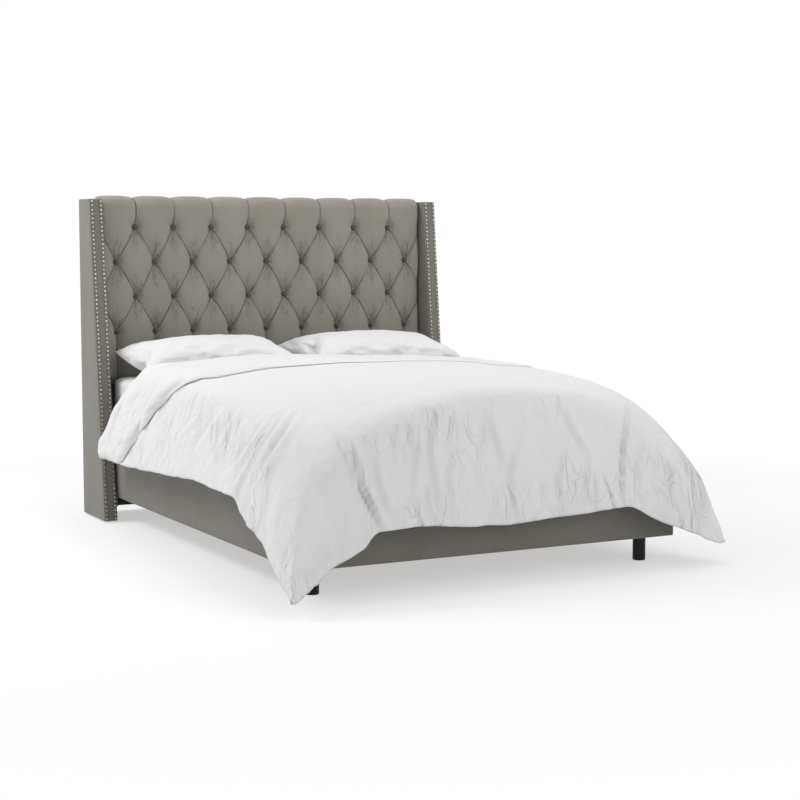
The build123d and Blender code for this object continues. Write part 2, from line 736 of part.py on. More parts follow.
def duvet_head_y():
    """Head edge of the duvet, just past the pillows."""
    return pillows()["pillow_left"].bounding_box().min.Y - duvet_head_gap


def rise_at(run_share, across_share, shares=duvet_rise_shares):
    """Duvet's thickness on the mattress, by its place along the bed and across it."""
    for (start, low), (end, high) in zip(shares, shares[1:]):
        if run_share <= end:
            along = low + (high - low) * max(0, run_share - start) / (end - start)
            break
    edge = duvet_edge_rise_share + (1 - duvet_edge_rise_share) * (1 - across_share ** 2)
    return duvet_rise * along * edge


def duvet_pivot():
    """Centre of the mattress's right-hand foot corner, which the duvet's corner fans round."""
    return mattress_width / 2 - mattress_corner_radius, mattress_foot_y + mattress_corner_radius


def drape_ring(base, outward, along, rise, lean, reach_share, drop_share):
    """Closed outline of the hanging duvet at one station round the mattress's edge.

    It runs inside from the top of the mattress past the rail to the hem, and back outside.
    """
    reach, drop = duvet_hem_reach * reach_share, duvet_drop * drop_share
    rail_out = (mattress_corner_radius + rail_outer_x - mattress_width / 2) / max(abs(outward[0]), abs(outward[1]))
    hem_z = bedding_z - drop
    mattress_out = mattress_corner_radius + duvet_mattress_play
    rail_clear = rail_out + duvet_rail_play
    rail_clear_z = rail_top_z + duvet_rail_top_play
    middle = rail_clear + duvet_wall
    middle += max(0, reach - middle) * duvet_mid_flare_share
    shoulder = max(mattress_out + duvet_shoulder_out, rail_clear)
    points = [(duvet_inner_line, bedding_z), (mattress_out, bedding_z), (rail_clear, rail_clear_z),
              (reach - duvet_hem_wall, hem_z), (reach, hem_z),
              (middle, bedding_z - duvet_drop * duvet_mid_drop_share),
              (shoulder, bedding_z - duvet_shoulder_drop),
              (mattress_out, bedding_z + rise * duvet_top_fall_share), (duvet_inner_line, bedding_z + rise)]
    outline = []
    for out, z in points:
        shift = duvet_lean * lean * (bedding_z - z) / duvet_drop
        outline.append((base[0] + outward[0] * out + along[0] * shift,
                        base[1] + outward[1] * out + along[1] * shift, z))
    return outline


def drape_rings():
    """Stations of the hanging duvet, from the left head end round the foot to the right head end."""
    head = duvet_head_y()
    pivot_x, pivot_y = duvet_pivot()
    run = head - pivot_y
    rings = {"left": [], "right": []}
    tables = {"left": side_stations_shares + left_last_stations_shares,
              "right": side_stations_shares + right_last_stations_shares}
    for side, sign in (("left", -1), ("right", 1)):
        for place, lean, reach, drop in tables[side]:
            base = (sign * pivot_x, head - run * place)
            rings[side].append(drape_ring(base, (sign, 0), (0, 1), rise_at(place, 1), lean, reach, drop))
    corners = {"left": left_corner_stations_shares, "right": right_corner_stations_shares}
    fans = {"left": [], "right": []}
    for side, sign in (("left", -1), ("right", 1)):
        for turn_share, reach, drop in corners[side]:
            turn = radians(quarter_turn) * turn_share
            outward = (sign * cos(turn), -sin(turn))
            fans[side].append(drape_ring((sign * pivot_x, pivot_y), outward, (0, 0), rise_at(1, 1), 0,
                                            reach, drop))
    foot = [drape_ring((pivot_x * place, pivot_y), (0, -1), (0, 0), rise_at(1, abs(place)), 0, reach, drop)
            for place, reach, drop in foot_stations_shares]
    return rings["left"] + fans["left"] + foot + fans["right"] + rings["right"][::-1]


def top_ring(y, run_share):
    """Crowned section of the duvet across the top of the mattress."""
    half = duvet_pivot()[0] + duvet_inner_line + duvet_overlap
    across_shares = [2 * i / duvet_top_facets - 1 for i in range(duvet_top_facets + 1)]
    crown = [(half * across, y, bedding_z + rise_at(run_share, across)) for across in across_shares]
    return crown + [(half, y, bedding_z), (-half, y, bedding_z)]


def duvet():
    """Duvet: crowned top with its head edge turned down, and the cloth that hangs round three sides."""
    head = duvet_head_y()
    end = duvet_pivot()[1] - duvet_inner_line - duvet_overlap
    top = solid_through([top_ring(head + (end - head) * place, place) for place, share in duvet_rise_shares])
    return top.fuse(solid_through(drape_rings()))


def bed():
    """Every piece by its node's name."""
    pieces = headboard_frame()
    pieces["headboard_tufted_cover"] = tufted_cover()
    pieces["headboard_lower_cover"] = lower_cover()
    pieces["headboard_back_cover"] = back_cover()
    pieces["tuft_buttons"] = tuft_buttons()
    pieces.update(wings())
    pieces["wing_bolts"] = wing_bolts()
    pieces["floor_glides"] = floor_glides()
    pieces.update(side_rails())
    pieces.update(footboard())
    pieces.update(corner_brackets())
    pieces["bracket_bolts"] = bracket_bolts()
    pieces.update(cleats())
    pieces.update(slats())
    pieces["centre_beam"] = centre_beam()
    pieces["beam_hanger_head"] = beam_hanger(lower_face_y, -1)
    pieces["beam_hanger_foot"] = beam_hanger(board_back_y, 1)
    pieces.update(centre_legs())
    pieces.update(foot_legs())
    pieces["mattress"] = mattress_shape(0)
    pieces["fitted_sheet"] = fitted_sheet()
    pieces.update(pillows())
    pieces["duvet"] = duvet()
    return pieces


os.makedirs("parts", exist_ok=True)
for node, shape in bed().items():
    export_step(shape, "parts/%s.step" % node)
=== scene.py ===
"""Wingback bed with a diamond-tufted headboard: soft goods, finishes, light and camera.

Metres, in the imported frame. Places come from the CAD nodes' boxes. The duvet and the
pillows are shaped by cloth simulation, and the rest of the upholstery by mesh operators.
"""

import logging
import math
import random
from dataclasses import dataclass
from enum import Enum
from typing import Callable, Dict, List, Optional, Sequence, Tuple

import bmesh
import bpy
from mathutils import Euler, Matrix, Vector, noise

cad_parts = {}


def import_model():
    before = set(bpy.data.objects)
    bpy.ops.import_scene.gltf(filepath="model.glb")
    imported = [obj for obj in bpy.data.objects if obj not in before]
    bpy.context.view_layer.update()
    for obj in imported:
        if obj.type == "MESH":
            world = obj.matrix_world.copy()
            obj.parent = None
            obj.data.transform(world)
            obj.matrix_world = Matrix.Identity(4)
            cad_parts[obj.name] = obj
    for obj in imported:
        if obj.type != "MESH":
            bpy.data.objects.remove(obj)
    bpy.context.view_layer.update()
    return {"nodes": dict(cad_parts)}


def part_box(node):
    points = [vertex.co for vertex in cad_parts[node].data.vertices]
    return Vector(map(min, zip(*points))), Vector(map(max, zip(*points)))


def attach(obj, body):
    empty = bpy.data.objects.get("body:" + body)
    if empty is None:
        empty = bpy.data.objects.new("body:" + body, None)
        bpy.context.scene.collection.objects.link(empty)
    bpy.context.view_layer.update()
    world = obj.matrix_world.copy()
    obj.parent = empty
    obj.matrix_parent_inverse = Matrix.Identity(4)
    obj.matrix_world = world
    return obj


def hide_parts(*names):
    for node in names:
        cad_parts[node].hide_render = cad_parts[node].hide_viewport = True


LOG = logging.getLogger("wingback_bed")
MILLI = 0.001
Colour = Tuple[float, float, float, float]
Pixel = Tuple[float, float]
WHITE: Colour = (1.0, 1.0, 1.0, 1.0)


class Body(Enum):
    """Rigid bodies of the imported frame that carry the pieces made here."""

    FRAME = "frame"
    MATTRESS = "mattress"
    DUVET = "duvet"


class Slot(Enum):
    """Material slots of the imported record."""

    LINEN = "grey_linen"
    DUST_CLOTH = "dust_cloth"
    PLYWOOD = "plywood"
    PINE = "pine"
    ZINC = "zinc_steel"
    BLACK_STEEL = "black_steel"
    LACQUER = "black_lacquer"
    PLASTIC = "black_plastic"
    TICKING = "mattress_ticking"
    SHEET = "white_sheet"
    PILLOW = "white_pillow"
    DUVET = "white_duvet"


@dataclass(frozen=True)
class Span:
    """Lowest and highest corner of a CAD node at rest."""

    low: Vector
    high: Vector

    @classmethod
    def of(cls, node: str) -> "Span":
        """Reads the box of one node.

        Args:
            node: name of the CAD node.

        Returns:
            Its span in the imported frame.
        """
        low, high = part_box(node)
        return cls(Vector(low), Vector(high))

    @property
    def size(self) -> Vector:
        """Lengths along the three axes."""
        return self.high - self.low

    @property
    def middle(self) -> Vector:
        """Centre of the box."""
        return (self.high + self.low) / 2


def smooth(value: float) -> float:
    """Eases a share from 0 to 1 with level ends."""
    share = min(1.0, max(0.0, value))
    return share * share * (3 - 2 * share)


def blend(first: float, second: float, share: float) -> float:
    """Value at a share of the way between two others."""
    return first + (second - first) * share


# Shader nodes


class Signal:
    """Output of a shader node; each arithmetic operator adds one Math node."""

    def __init__(self, tree: "ShaderTree", socket: bpy.types.NodeSocket) -> None:
        self.tree = tree
        self.socket = socket

    def __add__(self, other: object) -> "Signal":
        return self.tree.maths("ADD", self, other)

    def __radd__(self, other: object) -> "Signal":
        return self.tree.maths("ADD", other, self)

    def __sub__(self, other: object) -> "Signal":
        return self.tree.maths("SUBTRACT", self, other)

    def __rsub__(self, other: object) -> "Signal":
        return self.tree.maths("SUBTRACT", other, self)

    def __mul__(self, other: object) -> "Signal":
        return self.tree.maths("MULTIPLY", self, other)

    def __rmul__(self, other: object) -> "Signal":
        return self.tree.maths("MULTIPLY", other, self)

    def __pow__(self, other: object) -> "Signal":
        return self.tree.maths("POWER", self, other)

    def __rpow__(self, other: object) -> "Signal":
        return self.tree.maths("POWER", other, self)


class ShaderTree:
    """Node tree of one material, with its surface shader and output."""

    wave_rate = 20

    def __init__(self, name: str) -> None:
        self.material = bpy.data.materials.new(name)
        self.material.use_nodes = True
        self.nodes = self.material.node_tree.nodes
        self.links = self.material.node_tree.links
        self.nodes.clear()
        self.surface = self.add("ShaderNodeBsdfPrincipled")
        output = self.add("ShaderNodeOutputMaterial")
        self.links.new(self.surface.outputs[0], output.inputs["Surface"])
        self.place = Signal(self, self.add("ShaderNodeTexCoord").outputs["Object"])

    @classmethod
    def of(cls, material: bpy.types.Material) -> "ShaderTree":
        """Tree of a material that is already built."""
        tree = cls.__new__(cls)
        tree.material = material
        tree.nodes, tree.links = material.node_tree.nodes, material.node_tree.links
        tree.surface = next(node for node in tree.nodes if node.bl_idname == "ShaderNodeBsdfPrincipled")
        coordinates = next(node for node in tree.nodes if node.bl_idname == "ShaderNodeTexCoord")
        tree.place = Signal(tree, coordinates.outputs["Object"])
        return tree

    @classmethod
    def around(cls, world: bpy.types.World) -> "ShaderTree":
        """Emptied tree of a world."""
        tree = cls.__new__(cls)
        tree.nodes, tree.links = world.node_tree.nodes, world.node_tree.links
        tree.nodes.clear()
        return tree

    def add(self, kind: str, settings: Optional[Dict] = None,
            inputs: Optional[Dict] = None) -> bpy.types.Node:
        """Adds one node.

        Args:
            kind: node type.
            settings: properties of the node by name.
            inputs: values or signals by socket name or number.

        Returns:
            The new node.
        """
        node = self.nodes.new(kind)
        for name, value in (settings or {}).items():
            setattr(node, name, value)
        for key, value in (inputs or {}).items():
            self.feed(node.inputs[key], value)
        return node

    def feed(self, socket: bpy.types.NodeSocket, value: object) -> None:
        """Links a signal to a socket, or sets the socket to a constant."""
        if isinstance(value, Signal):
            self.links.new(value.socket, socket)
        else:
            socket.default_value = value

    def maths(self, operation: str, first: object, second: object) -> Signal:
        """One Math node on two values."""
        node = self.add("ShaderNodeMath", {"operation": operation}, {0: first, 1: second})
        return Signal(self, node.outputs[0])

    def stretched(self, scale: Sequence[float], vector: Optional[Signal] = None) -> Signal:
        """Coordinates stretched along the axes."""
        node = self.add("ShaderNodeMapping", None, {"Vector": vector or self.place, "Scale": scale})
        return Signal(self, node.outputs[0])

    def noise(self, scale: float, detail: float = 2.0, vector: Optional[Signal] = None,
              distortion: float = 0.0) -> Signal:
        """Noise from 0 to 1 about 0.5."""
        node = self.add("ShaderNodeTexNoise", None, {"Vector": vector or self.place, "Scale": scale,
                                                     "Detail": detail, "Distortion": distortion})
        return Signal(self, node.outputs[0])

    def bands(self, period: float, axis: str, vector: Optional[Signal] = None) -> Signal:
        """Soft parallel bands along one axis, such as the threads of a weave."""
        node = self.add("ShaderNodeTexWave", {"bands_direction": axis},
                        {"Vector": vector or self.place, "Scale": 2 * math.pi / (self.wave_rate * period)})
        return Signal(self, node.outputs[1])

    def weave(self, thread: float) -> Signal:
        """Threads along all three axes."""
        return self.bands(thread, "X") + self.bands(thread, "Y") + self.bands(thread, "Z")

    def absolute(self, value: Signal) -> Signal:
        """Size of a value without its sign."""
        return self.maths("ABSOLUTE", value, 0.0)

    def crests(self, field: Signal, width: float) -> Signal:
        """Crests of a width along the lines where a noise crosses its middle value."""
        return self.limits(self.absolute(field - 0.5), 0.0, width, 1.0, 0.0)

    def limits(self, value: Signal, low: float, high: float, to_low: float = 0.0,
               to_high: float = 1.0) -> Signal:
        """Maps a range to another and holds its ends."""
        node = self.add("ShaderNodeMapRange", None, {0: value, 1: low, 2: high, 3: to_low, 4: to_high})
        return Signal(self, node.outputs[0])

    def mixed(self, share: object, first: object, second: object) -> Signal:
        """Colour between two others."""
        node = self.add("ShaderNodeMix", {"data_type": "RGBA"}, {0: share, 6: first, 7: second})
        return Signal(self, node.outputs[2])

    def bump(self, height: Signal, distance: float, strength: float = 1.0,
             normal: Optional[Signal] = None) -> Signal:
        """Normal bent by a height, on top of another bent normal where one is given."""
        inputs = {"Height": height, "Distance": distance, "Strength": strength}
        if normal is not None:
            inputs["Normal"] = normal
        return Signal(self, self.add("ShaderNodeBump", None, inputs).outputs[0])

    def finish(self, **inputs: object) -> bpy.types.Material:
        """Feeds the surface shader and returns the material; names use _ for a space."""
        for name, value in inputs.items():
            self.feed(self.surface.inputs[name.replace("_", " ")], value)
        return self.material


def shade(colour: Colour, factor: float) -> Colour:
    """Colour made darker or lighter."""
    return (colour[0] * factor, colour[1] * factor, colour[2] * factor, 1.0)


@dataclass(frozen=True)
class LinenFinish:
    """Heathered upholstery linen, woven from slubby threads."""

    colour: Colour = (0.255, 0.245, 0.216, 1.0)
    thread: float = 1.3 * MILLI
    relief: float = 0.45 * MILLI
    pleat_shade_width: float = 0.018
    wrinkle_width: float = 0.04
    wrinkle_depth: float = 20 * MILLI
    roughness: float = 0.88
    pleated: bool = False

    def build(self, name: str) -> bpy.types.Material:
        """Makes the material.

        Args:
            name: its name.

        Returns:
            The material.
        """
        tree = ShaderTree(name)
        weave = tree.weave(self.thread)
        level = tree.noise(1.0, 3.0, tree.stretched((60, 60, 900)))
        upright = tree.noise(1.0, 3.0, tree.stretched((900, 900, 60)))
        slubs = (level + upright) * 0.5
        cloudy = tree.noise(5.0, 3.0, tree.stretched((1.0, 1.0, 0.35)))
        share = tree.limits(slubs * 0.7 + cloudy * 0.3, 0.36, 0.64)
        warm, cool = shade(self.colour, 0.84), shade(self.colour, 1.16)
        warm = (warm[0] * 1.03, warm[1], warm[2] * 0.96, 1.0)
        colour = tree.mixed(share, warm, cool)
        height = weave * 0.3 + slubs
        normal = tree.bump(height, self.relief)
        # the pleated copy adds painted shade along the pleats and the wrinkle crests
        if self.pleated:
            colour, normal = self._pleats_with_painted_shade(tree, colour, height)
        return tree.finish(Base_Color=colour, Roughness=self.roughness, Normal=normal,
                           Sheen_Weight=0.2, Sheen_Roughness=0.5, Specular_IOR_Level=0.2)

    def _pleats_with_painted_shade(self, tree: ShaderTree, colour: Signal, height: Signal) -> Tuple[Signal, Signal]:
        """Adds painted shade along the pleats, and the small wrinkles that fan out above and below each
        button, with painted shade along their crests.

        Args:
            tree: the material's nodes; both pleat coordinates are whole numbers at a button.
            colour: colour of the plain cloth.
            height: relief of its weave.

        Returns:
            Colour, with its painted shade, and normal.
        """
        uv = tree.add("ShaderNodeUVMap", {"uv_map": "pleats"}).outputs[0]
        parts = tree.add("ShaderNodeSeparateXYZ", None, {0: Signal(tree, uv)})
        first, second = [tree.maths("WRAP", Signal(tree, output), 0.5) for output in parts.outputs[:2]]
        for signal in (first, second):
            signal.socket.node.inputs[2].default_value = -0.5
        near = [tree.absolute(signal) for signal in (first, second)]
        patchy = tree.limits(tree.noise(16.0, 2.0), 0.35, 0.6, 0.35, 1.0)
        lines = [tree.limits(signal, 0.0, self.pleat_shade_width, 1.0, 0.0) for signal in near]
        line = tree.maths("MAXIMUM", *lines) * patchy
        # painted shade: the cloth is darkened along the pleat lines, where the folds lie in shade
        colour = tree.mixed(line, colour, shade(self.colour, 0.25))
        side, up = first + second, (first - second) * 1.7
        turn = tree.maths("ARCTAN2", side, up)
        own = [Signal(tree, output) - signal for output, signal in zip(parts.outputs[:2], (first, second))]
        around = tree.add("ShaderNodeCombineXYZ", None, {
            0: turn * 5.0, 1: (first * first + second * second) * 2.0, 2: own[0] * 3.1 + own[1] * 1.7})
        folds = tree.noise(2.2, 1.0, Signal(tree, around.outputs[0]), distortion=0.4)
        sharp = tree.crests(folds, self.wrinkle_width)
        reach = tree.maths("MAXIMUM", *near)
        window = tree.limits(reach, 0.06, 0.12) * tree.limits(reach, 0.20, 0.46, 1.0, 0.0)
        upright = tree.limits(tree.absolute(up) - tree.absolute(side) * 1.2, -0.1, 0.1)
        # painted shade: the cloth is darkened along the wrinkle crests that fan out round each button
        colour = tree.mixed(sharp * window * upright * 0.35, colour, shade(self.colour, 0.35))
        folded = tree.bump((folds * 0.28 - sharp * 0.16) * window * upright - line * 0.25, self.wrinkle_depth)
        return colour, tree.bump(height, self.relief, normal=folded)


@dataclass(frozen=True)
class CottonFinish:
    """Plain white cotton with a fine weave and slight crumples."""

    colour: Colour = (0.69, 0.69, 0.695, 1.0)
    thread: float = 0.9 * MILLI
    crumple: float = 3.0 * MILLI
    crumple_scale: float = 8.0
    roughness: float = 0.92

    def build(self, name: str) -> bpy.types.Material:
        """Makes the material.

        Args:
            name: its name.

        Returns:
            The material.
        """
        tree = ShaderTree(name)
        folds = tree.noise(self.crumple_scale, 4.0, distortion=0.8)
        fine = tree.noise(self.crumple_scale * 6, 3.0, distortion=0.6)
        tall = tree.stretched((1.0, 1.0, 0.45))
        line = tree.crests(tree.noise(self.crumple_scale * 0.6, 2.0, tall, distortion=0.5), 0.035)
        patches = tree.limits(tree.noise(self.crumple_scale * 0.35, 1.0), 0.46, 0.58)
        weave = tree.weave(self.thread)
        colour = tree.mixed(tree.limits(fine, 0.3, 0.7), shade(self.colour, 0.985), self.colour)
        height = folds + fine * 0.12 + weave * 0.01 - line * patches * 0.6
        normal = tree.bump(height, self.crumple, 0.7)
        return tree.finish(Base_Color=colour, Roughness=self.roughness, Normal=normal,
                           Sheen_Weight=0.15, Specular_IOR_Level=0.2)


@dataclass(frozen=True)
class CreasedFinish:
    """White cotton whose fine creases run down the hanging cloth, where its crumple attribute says."""

    plain: CottonFinish = CottonFinish()
    depth: float = 9 * MILLI
    wide: Tuple[float, float, float] = (8.0, 2.6, 1.0)
    thin: Tuple[float, float, float] = (19.0, 7.0, 1.0)
    flank: float = 0.16
    sharpness: float = 1.6

    def build(self, name: str) -> bpy.types.Material:
        """Makes the material.

        Args:
            name: its name.

        Returns:
            The material.
        """
        material = self.plain.build(name)
        tree = ShaderTree.of(material)
        uv = Signal(tree, tree.add("ShaderNodeUVMap", {"uv_map": "fall"}).outputs[0])
        wide = self._ridges(tree, tree.noise(1.0, 1.0, tree.stretched(self.wide, uv), distortion=0.9))
        thin = self._ridges(tree, tree.noise(1.0, 1.0, tree.stretched(self.thin, uv), distortion=1.2))
        where = Signal(tree, tree.add("ShaderNodeAttribute", {"attribute_name": "crumple"}).outputs["Fac"])
        height = (wide + thin * 0.35) * where
        folded = tree.bump(height, self.depth)
        woven = tree.surface.inputs["Normal"].links[0].from_node
        tree.feed(woven.inputs["Normal"], folded)
        return material

    def _ridges(self, tree: ShaderTree, field: Signal) -> Signal:
        """Sharp crests with soft flanks, where a noise crosses its middle value."""
        return tree.crests(field, self.flank) ** self.sharpness


@dataclass(frozen=True)
class StripedFinish:
    """Mattress ticking: pale cloth with fine stripes and a quilted swell."""

    colour: Colour = (0.74, 0.74, 0.72, 1.0)
    stripe: Colour = (0.42, 0.45, 0.50, 1.0)

    def build(self, name: str) -> bpy.types.Material:
        """Makes the material.

        Args:
            name: its name.

        Returns:
            The material.
        """
        tree = ShaderTree(name)
        stripes = tree.limits(tree.bands(26 * MILLI, "X"), 0.90, 0.97)
        quilting = tree.noise(14.0, 2.0)
        weave = tree.noise(900.0, 2.0)
        return tree.finish(Base_Color=tree.mixed(stripes, self.colour, self.stripe), Roughness=0.9,
                           Normal=tree.bump(quilting + weave * 0.05, 3 * MILLI), Sheen_Weight=0.15)


@dataclass(frozen=True)
class ClothFinish:
    """Thin unwoven dust cloth with small round bonding points."""

    colour: Colour = (0.028, 0.028, 0.030, 1.0)

    def build(self, name: str) -> bpy.types.Material:
        """Makes the material.

        Args:
            name: its name.

        Returns:
            The material.
        """
        tree = ShaderTree(name)
        points = tree.add("ShaderNodeTexVoronoi", None, {"Vector": tree.place, "Scale": 420.0})
        dots = tree.limits(Signal(tree, points.outputs[0]), 0.1, 0.5)
        fibres = tree.noise(260.0, 4.0, distortion=1.5)
        colour = tree.mixed(fibres, shade(self.colour, 0.7), shade(self.colour, 1.5))
        return tree.finish(Base_Color=colour, Roughness=0.85, Normal=tree.bump(dots + fibres, 0.2 * MILLI))


@dataclass(frozen=True)
class WoodFinish:
    """Bare wood with a grain along one axis; plywood shows its layers across it."""

    light: Colour = (0.62, 0.44, 0.26, 1.0)
    dark: Colour = (0.44, 0.28, 0.14, 1.0)
    grain: Tuple[float, float, float] = (4.0, 60.0, 60.0)
    layers: bool = False

    def build(self, name: str) -> bpy.types.Material:
        """Makes the material.

        Args:
            name: its name.

        Returns:
            The material.
        """
        tree = ShaderTree(name)
        along = tree.stretched(self.grain)
        rings = tree.noise(1.0, 5.0, along, distortion=1.2)
        pores = tree.noise(14.0, 2.0, along)
        share = tree.limits(rings * 0.8 + pores * 0.2, 0.35, 0.65)
        colour = tree.mixed(share, self.light, self.dark)
        if self.layers:
            plies = tree.limits(tree.bands(2.6 * MILLI, "Y"), 0.4, 0.6)
            colour = tree.mixed(plies * 0.25, colour, self.dark)
        return tree.finish(Base_Color=colour, Roughness=tree.limits(pores, 0.3, 0.7, 0.5, 0.72),
                           Normal=tree.bump(rings + pores * 0.4, 0.3 * MILLI))


@dataclass(frozen=True)
class MetalFinish:
    """Metal with fine scratches; paint and plastic have no metallic share."""

    colour: Colour
    roughness: float
    metallic: float = 1.0
    shine: float = 0.5
    worn: float = 0.5

    def build(self, name: str) -> bpy.types.Material:
        """Makes the material.

        Args:
            name: its name.

        Returns:
            The material.
        """
        tree = ShaderTree(name)
        patches = tree.noise(90.0, 4.0)
        scratches = tree.noise(1.0, 3.0, tree.stretched((300, 300, 2400)))
        share = tree.limits(patches, 0.35, 0.65)
        colour = tree.mixed(share, shade(self.colour, 1 - self.worn), shade(self.colour, 1 + self.worn * 0.4))
        roughness = tree.limits(patches * 0.6 + scratches * 0.4, 0.3, 0.7, self.roughness * 0.8,
                                min(1.0, self.roughness * 1.3))
        normal = tree.bump(scratches + patches * 0.5, 0.06 * MILLI)
        return tree.finish(Base_Color=colour, Roughness=roughness, Metallic=self.metallic,
                           Specular_IOR_Level=self.shine, Normal=normal)


FINISHES: Dict[Slot, object] = {
    Slot.LINEN: LinenFinish(),
    Slot.DUST_CLOTH: ClothFinish(),
    Slot.PLYWOOD: WoodFinish((0.58, 0.43, 0.27, 1.0), (0.45, 0.31, 0.18, 1.0), grain=(30.0, 30.0, 3.0),
                             layers=True),
    Slot.PINE: WoodFinish(),
    Slot.ZINC: MetalFinish((0.55, 0.56, 0.58, 1.0), 0.35, worn=0.15),
    Slot.BLACK_STEEL: MetalFinish((0.020, 0.020, 0.021, 1.0), 0.45, metallic=0.0, worn=0.2),
    Slot.LACQUER: MetalFinish((0.002, 0.002, 0.002, 1.0), 0.30, metallic=0.0, shine=0.25, worn=0.2),
    Slot.PLASTIC: MetalFinish((0.018, 0.018, 0.018, 1.0), 0.5, metallic=0.0, worn=0.1),
    Slot.TICKING: StripedFinish(),
    Slot.SHEET: CottonFinish(crumple=1.2 * MILLI, crumple_scale=14.0),
    Slot.PILLOW: CottonFinish(),
    Slot.DUVET: CottonFinish(),
}


class Palette:
    """Materials by slot, made once and shared by every piece."""

    button_painted_shade = 0.30
    side_painted_shade = 0.70

    def __init__(self) -> None:
        self.materials = {slot: finish.build(slot.value + "_finish") for slot, finish in FINISHES.items()}
        linen = LinenFinish()
        self.pleated = LinenFinish(pleated=True).build("grey_linen_pleated_finish")
        # painted shade: the buttons' linen is darkened to stand for the shade of the hollows that they sit in
        self.button = LinenFinish(shade(linen.colour, self.button_painted_shade)).build("grey_linen_button_finish")
        # painted shade: a darker copy of the same linen for the wings, rails and footboard, for the dimmer
        # light that their faces get
        self.side = LinenFinish(shade(linen.colour, self.side_painted_shade)).build("grey_linen_side_finish")
        self.creased = CreasedFinish().build("white_duvet_creased_finish")
        self.nail = MetalFinish((0.46, 0.44, 0.40, 1.0), 0.28, worn=0.4).build("pewter_nail_finish")
        # painted shade: a near-black metal on the upright rims of the nails, for the dark ring of shadow
        # round each head
        self.nail_rim = MetalFinish((0.035, 0.032, 0.028, 1.0), 0.5, worn=0.5).build("pewter_patina_finish")

    def dress_frame(self, nodes: Dict[str, bpy.types.Object]) -> None:
        """Gives every CAD node the material of its slot."""
        by_name = {slot.value: material for slot, material in self.materials.items()}
        for node in nodes.values():
            for place in node.material_slots:
                place.material = by_name[place.material.name.split(".")[0]]


# Mesh tools


def new_object(name: str, body: bmesh.types.BMesh, material: bpy.types.Material) -> bpy.types.Object:
    """Turns a bmesh into a smooth-shaded object at the origin.

    Args:
        name: name of the piece.
        body: its mesh, which is freed.
        material: its finish.

    Returns:
        The object, linked to the scene.
    """
    mesh = bpy.data.meshes.new(name)
    body.to_mesh(mesh)
    body.free()
    mesh.materials.append(material)
    mesh.polygons.foreach_set("use_smooth", [True] * len(mesh.polygons))
    piece = bpy.data.objects.new(name, mesh)
    bpy.context.scene.collection.objects.link(piece)
    return piece


def settle(piece: bpy.types.Object) -> None:
    """Applies every modifier of a piece to its mesh."""
    graph = bpy.context.evaluated_depsgraph_get()
    mesh = bpy.data.meshes.new_from_object(piece.evaluated_get(graph), preserve_all_data_layers=True,
                                           depsgraph=graph)
    piece.modifiers.clear()
    old, piece.data = piece.data, mesh
    mesh.name = old.name
    bpy.data.meshes.remove(old)


def refine(piece: bpy.types.Object, levels: int) -> None:
    """Smooths a piece by subdivision, applied."""
    modifier = piece.modifiers.new("Subdivision", "SUBSURF")
    modifier.levels = modifier.render_levels = levels
    settle(piece)


def thicken(piece: bpy.types.Object, shares: Sequence[float], thickness: float, side: float) -> None:
    """Gives a sheet its thickness, by a share at each vertex.

    Args:
        piece: open sheet.
        shares: share of the full thickness at each vertex.
        thickness: full thickness.
        side: -1 to grow behind the sheet's face, 1 in front of it.
    """
    group = piece.vertex_groups.new(name="thickness")
    for index, share in enumerate(shares):
        group.add([index], share, "REPLACE")
    modifier = piece.modifiers.new("Solidify", "SOLIDIFY")
    modifier.thickness = thickness
    modifier.offset = side
    modifier.vertex_group = group.name
    settle(piece)
    piece.vertex_groups.clear()


def gridded_box(cuts: Tuple[int, int, int]) -> bmesh.types.BMesh:
    """Cube from 0 to 1 whose edges along each axis are cut into rows."""
    body = bmesh.new()
    bmesh.ops.create_cube(body, size=1.0, matrix=Matrix.Translation((0.5, 0.5, 0.5)))
    for axis, number in enumerate(cuts):
        along = [edge for edge in body.edges
                 if abs(edge.verts[0].co[axis] - edge.verts[1].co[axis]) > 0.5 / (number + 1)]
        if number:
            bmesh.ops.subdivide_edges(body, edges=along, cuts=number, use_grid_fill=True)
    return body


def padded_box(cuts: Tuple[int, int, int], edge: float,
               place: Callable[[Vector], Vector]) -> bmesh.types.BMesh:
    """Box with rounded edges whose vertices a function moves before the edges are rounded.

    Args:
        cuts: rows along each axis.
        edge: radius of the edges.
        place: gives a vertex's place from its shares along the axes.

    Returns:
        The mesh.
    """
    body = gridded_box(cuts)
    hard = [line for line in body.edges if line.calc_face_angle(0.0) > math.radians(60)]
    for vertex in body.verts:
        vertex.co = place(vertex.co.copy())
    bmesh.ops.bevel(body, geom=hard, offset=edge, segments=3, profile=0.5, affect="EDGES", material=-1)
    return body


def rounded_block(low: Vector, high: Vector, radius: Vector,
                  cuts: Tuple[int, int, int]) -> bmesh.types.BMesh:
    """Block with elliptical edges, meshed more finely towards them.

    Args:
        low: lowest corner.
        high: highest corner.
        radius: radii of the edges along each axis.
        cuts: rows along each axis.

    Returns:
        The mesh.
    """
    body = gridded_box(cuts)
    for vertex in body.verts:
        point, core = Vector(), Vector()
        for axis in range(3):
            share = 0.5 - 0.5 * math.cos(math.pi * vertex.co[axis])
            point[axis] = blend(low[axis], high[axis], share)
            core[axis] = min(max(point[axis], low[axis] + radius[axis]), high[axis] - radius[axis])
        way = Vector((point[axis] - core[axis]) / radius[axis] for axis in range(3))
        if way.length > 0:
            way.normalize()
        vertex.co = core + Vector(way[axis] * radius[axis] for axis in range(3))
    return body


def scattered(template: bmesh.types.BMesh, places: Sequence[Matrix]) -> bmesh.types.BMesh:
    """Copies of a small mesh at many places, in one mesh; the template is freed."""
    source = bpy.data.meshes.new("template")
    template.to_mesh(source)
    template.free()
    body = bmesh.new()
    for matrix in places:
        before = len(body.verts)
        body.from_mesh(source)
        body.verts.ensure_lookup_table()
        bmesh.ops.transform(body, matrix=matrix, verts=body.verts[before:])
    bpy.data.meshes.remove(source)
    return body


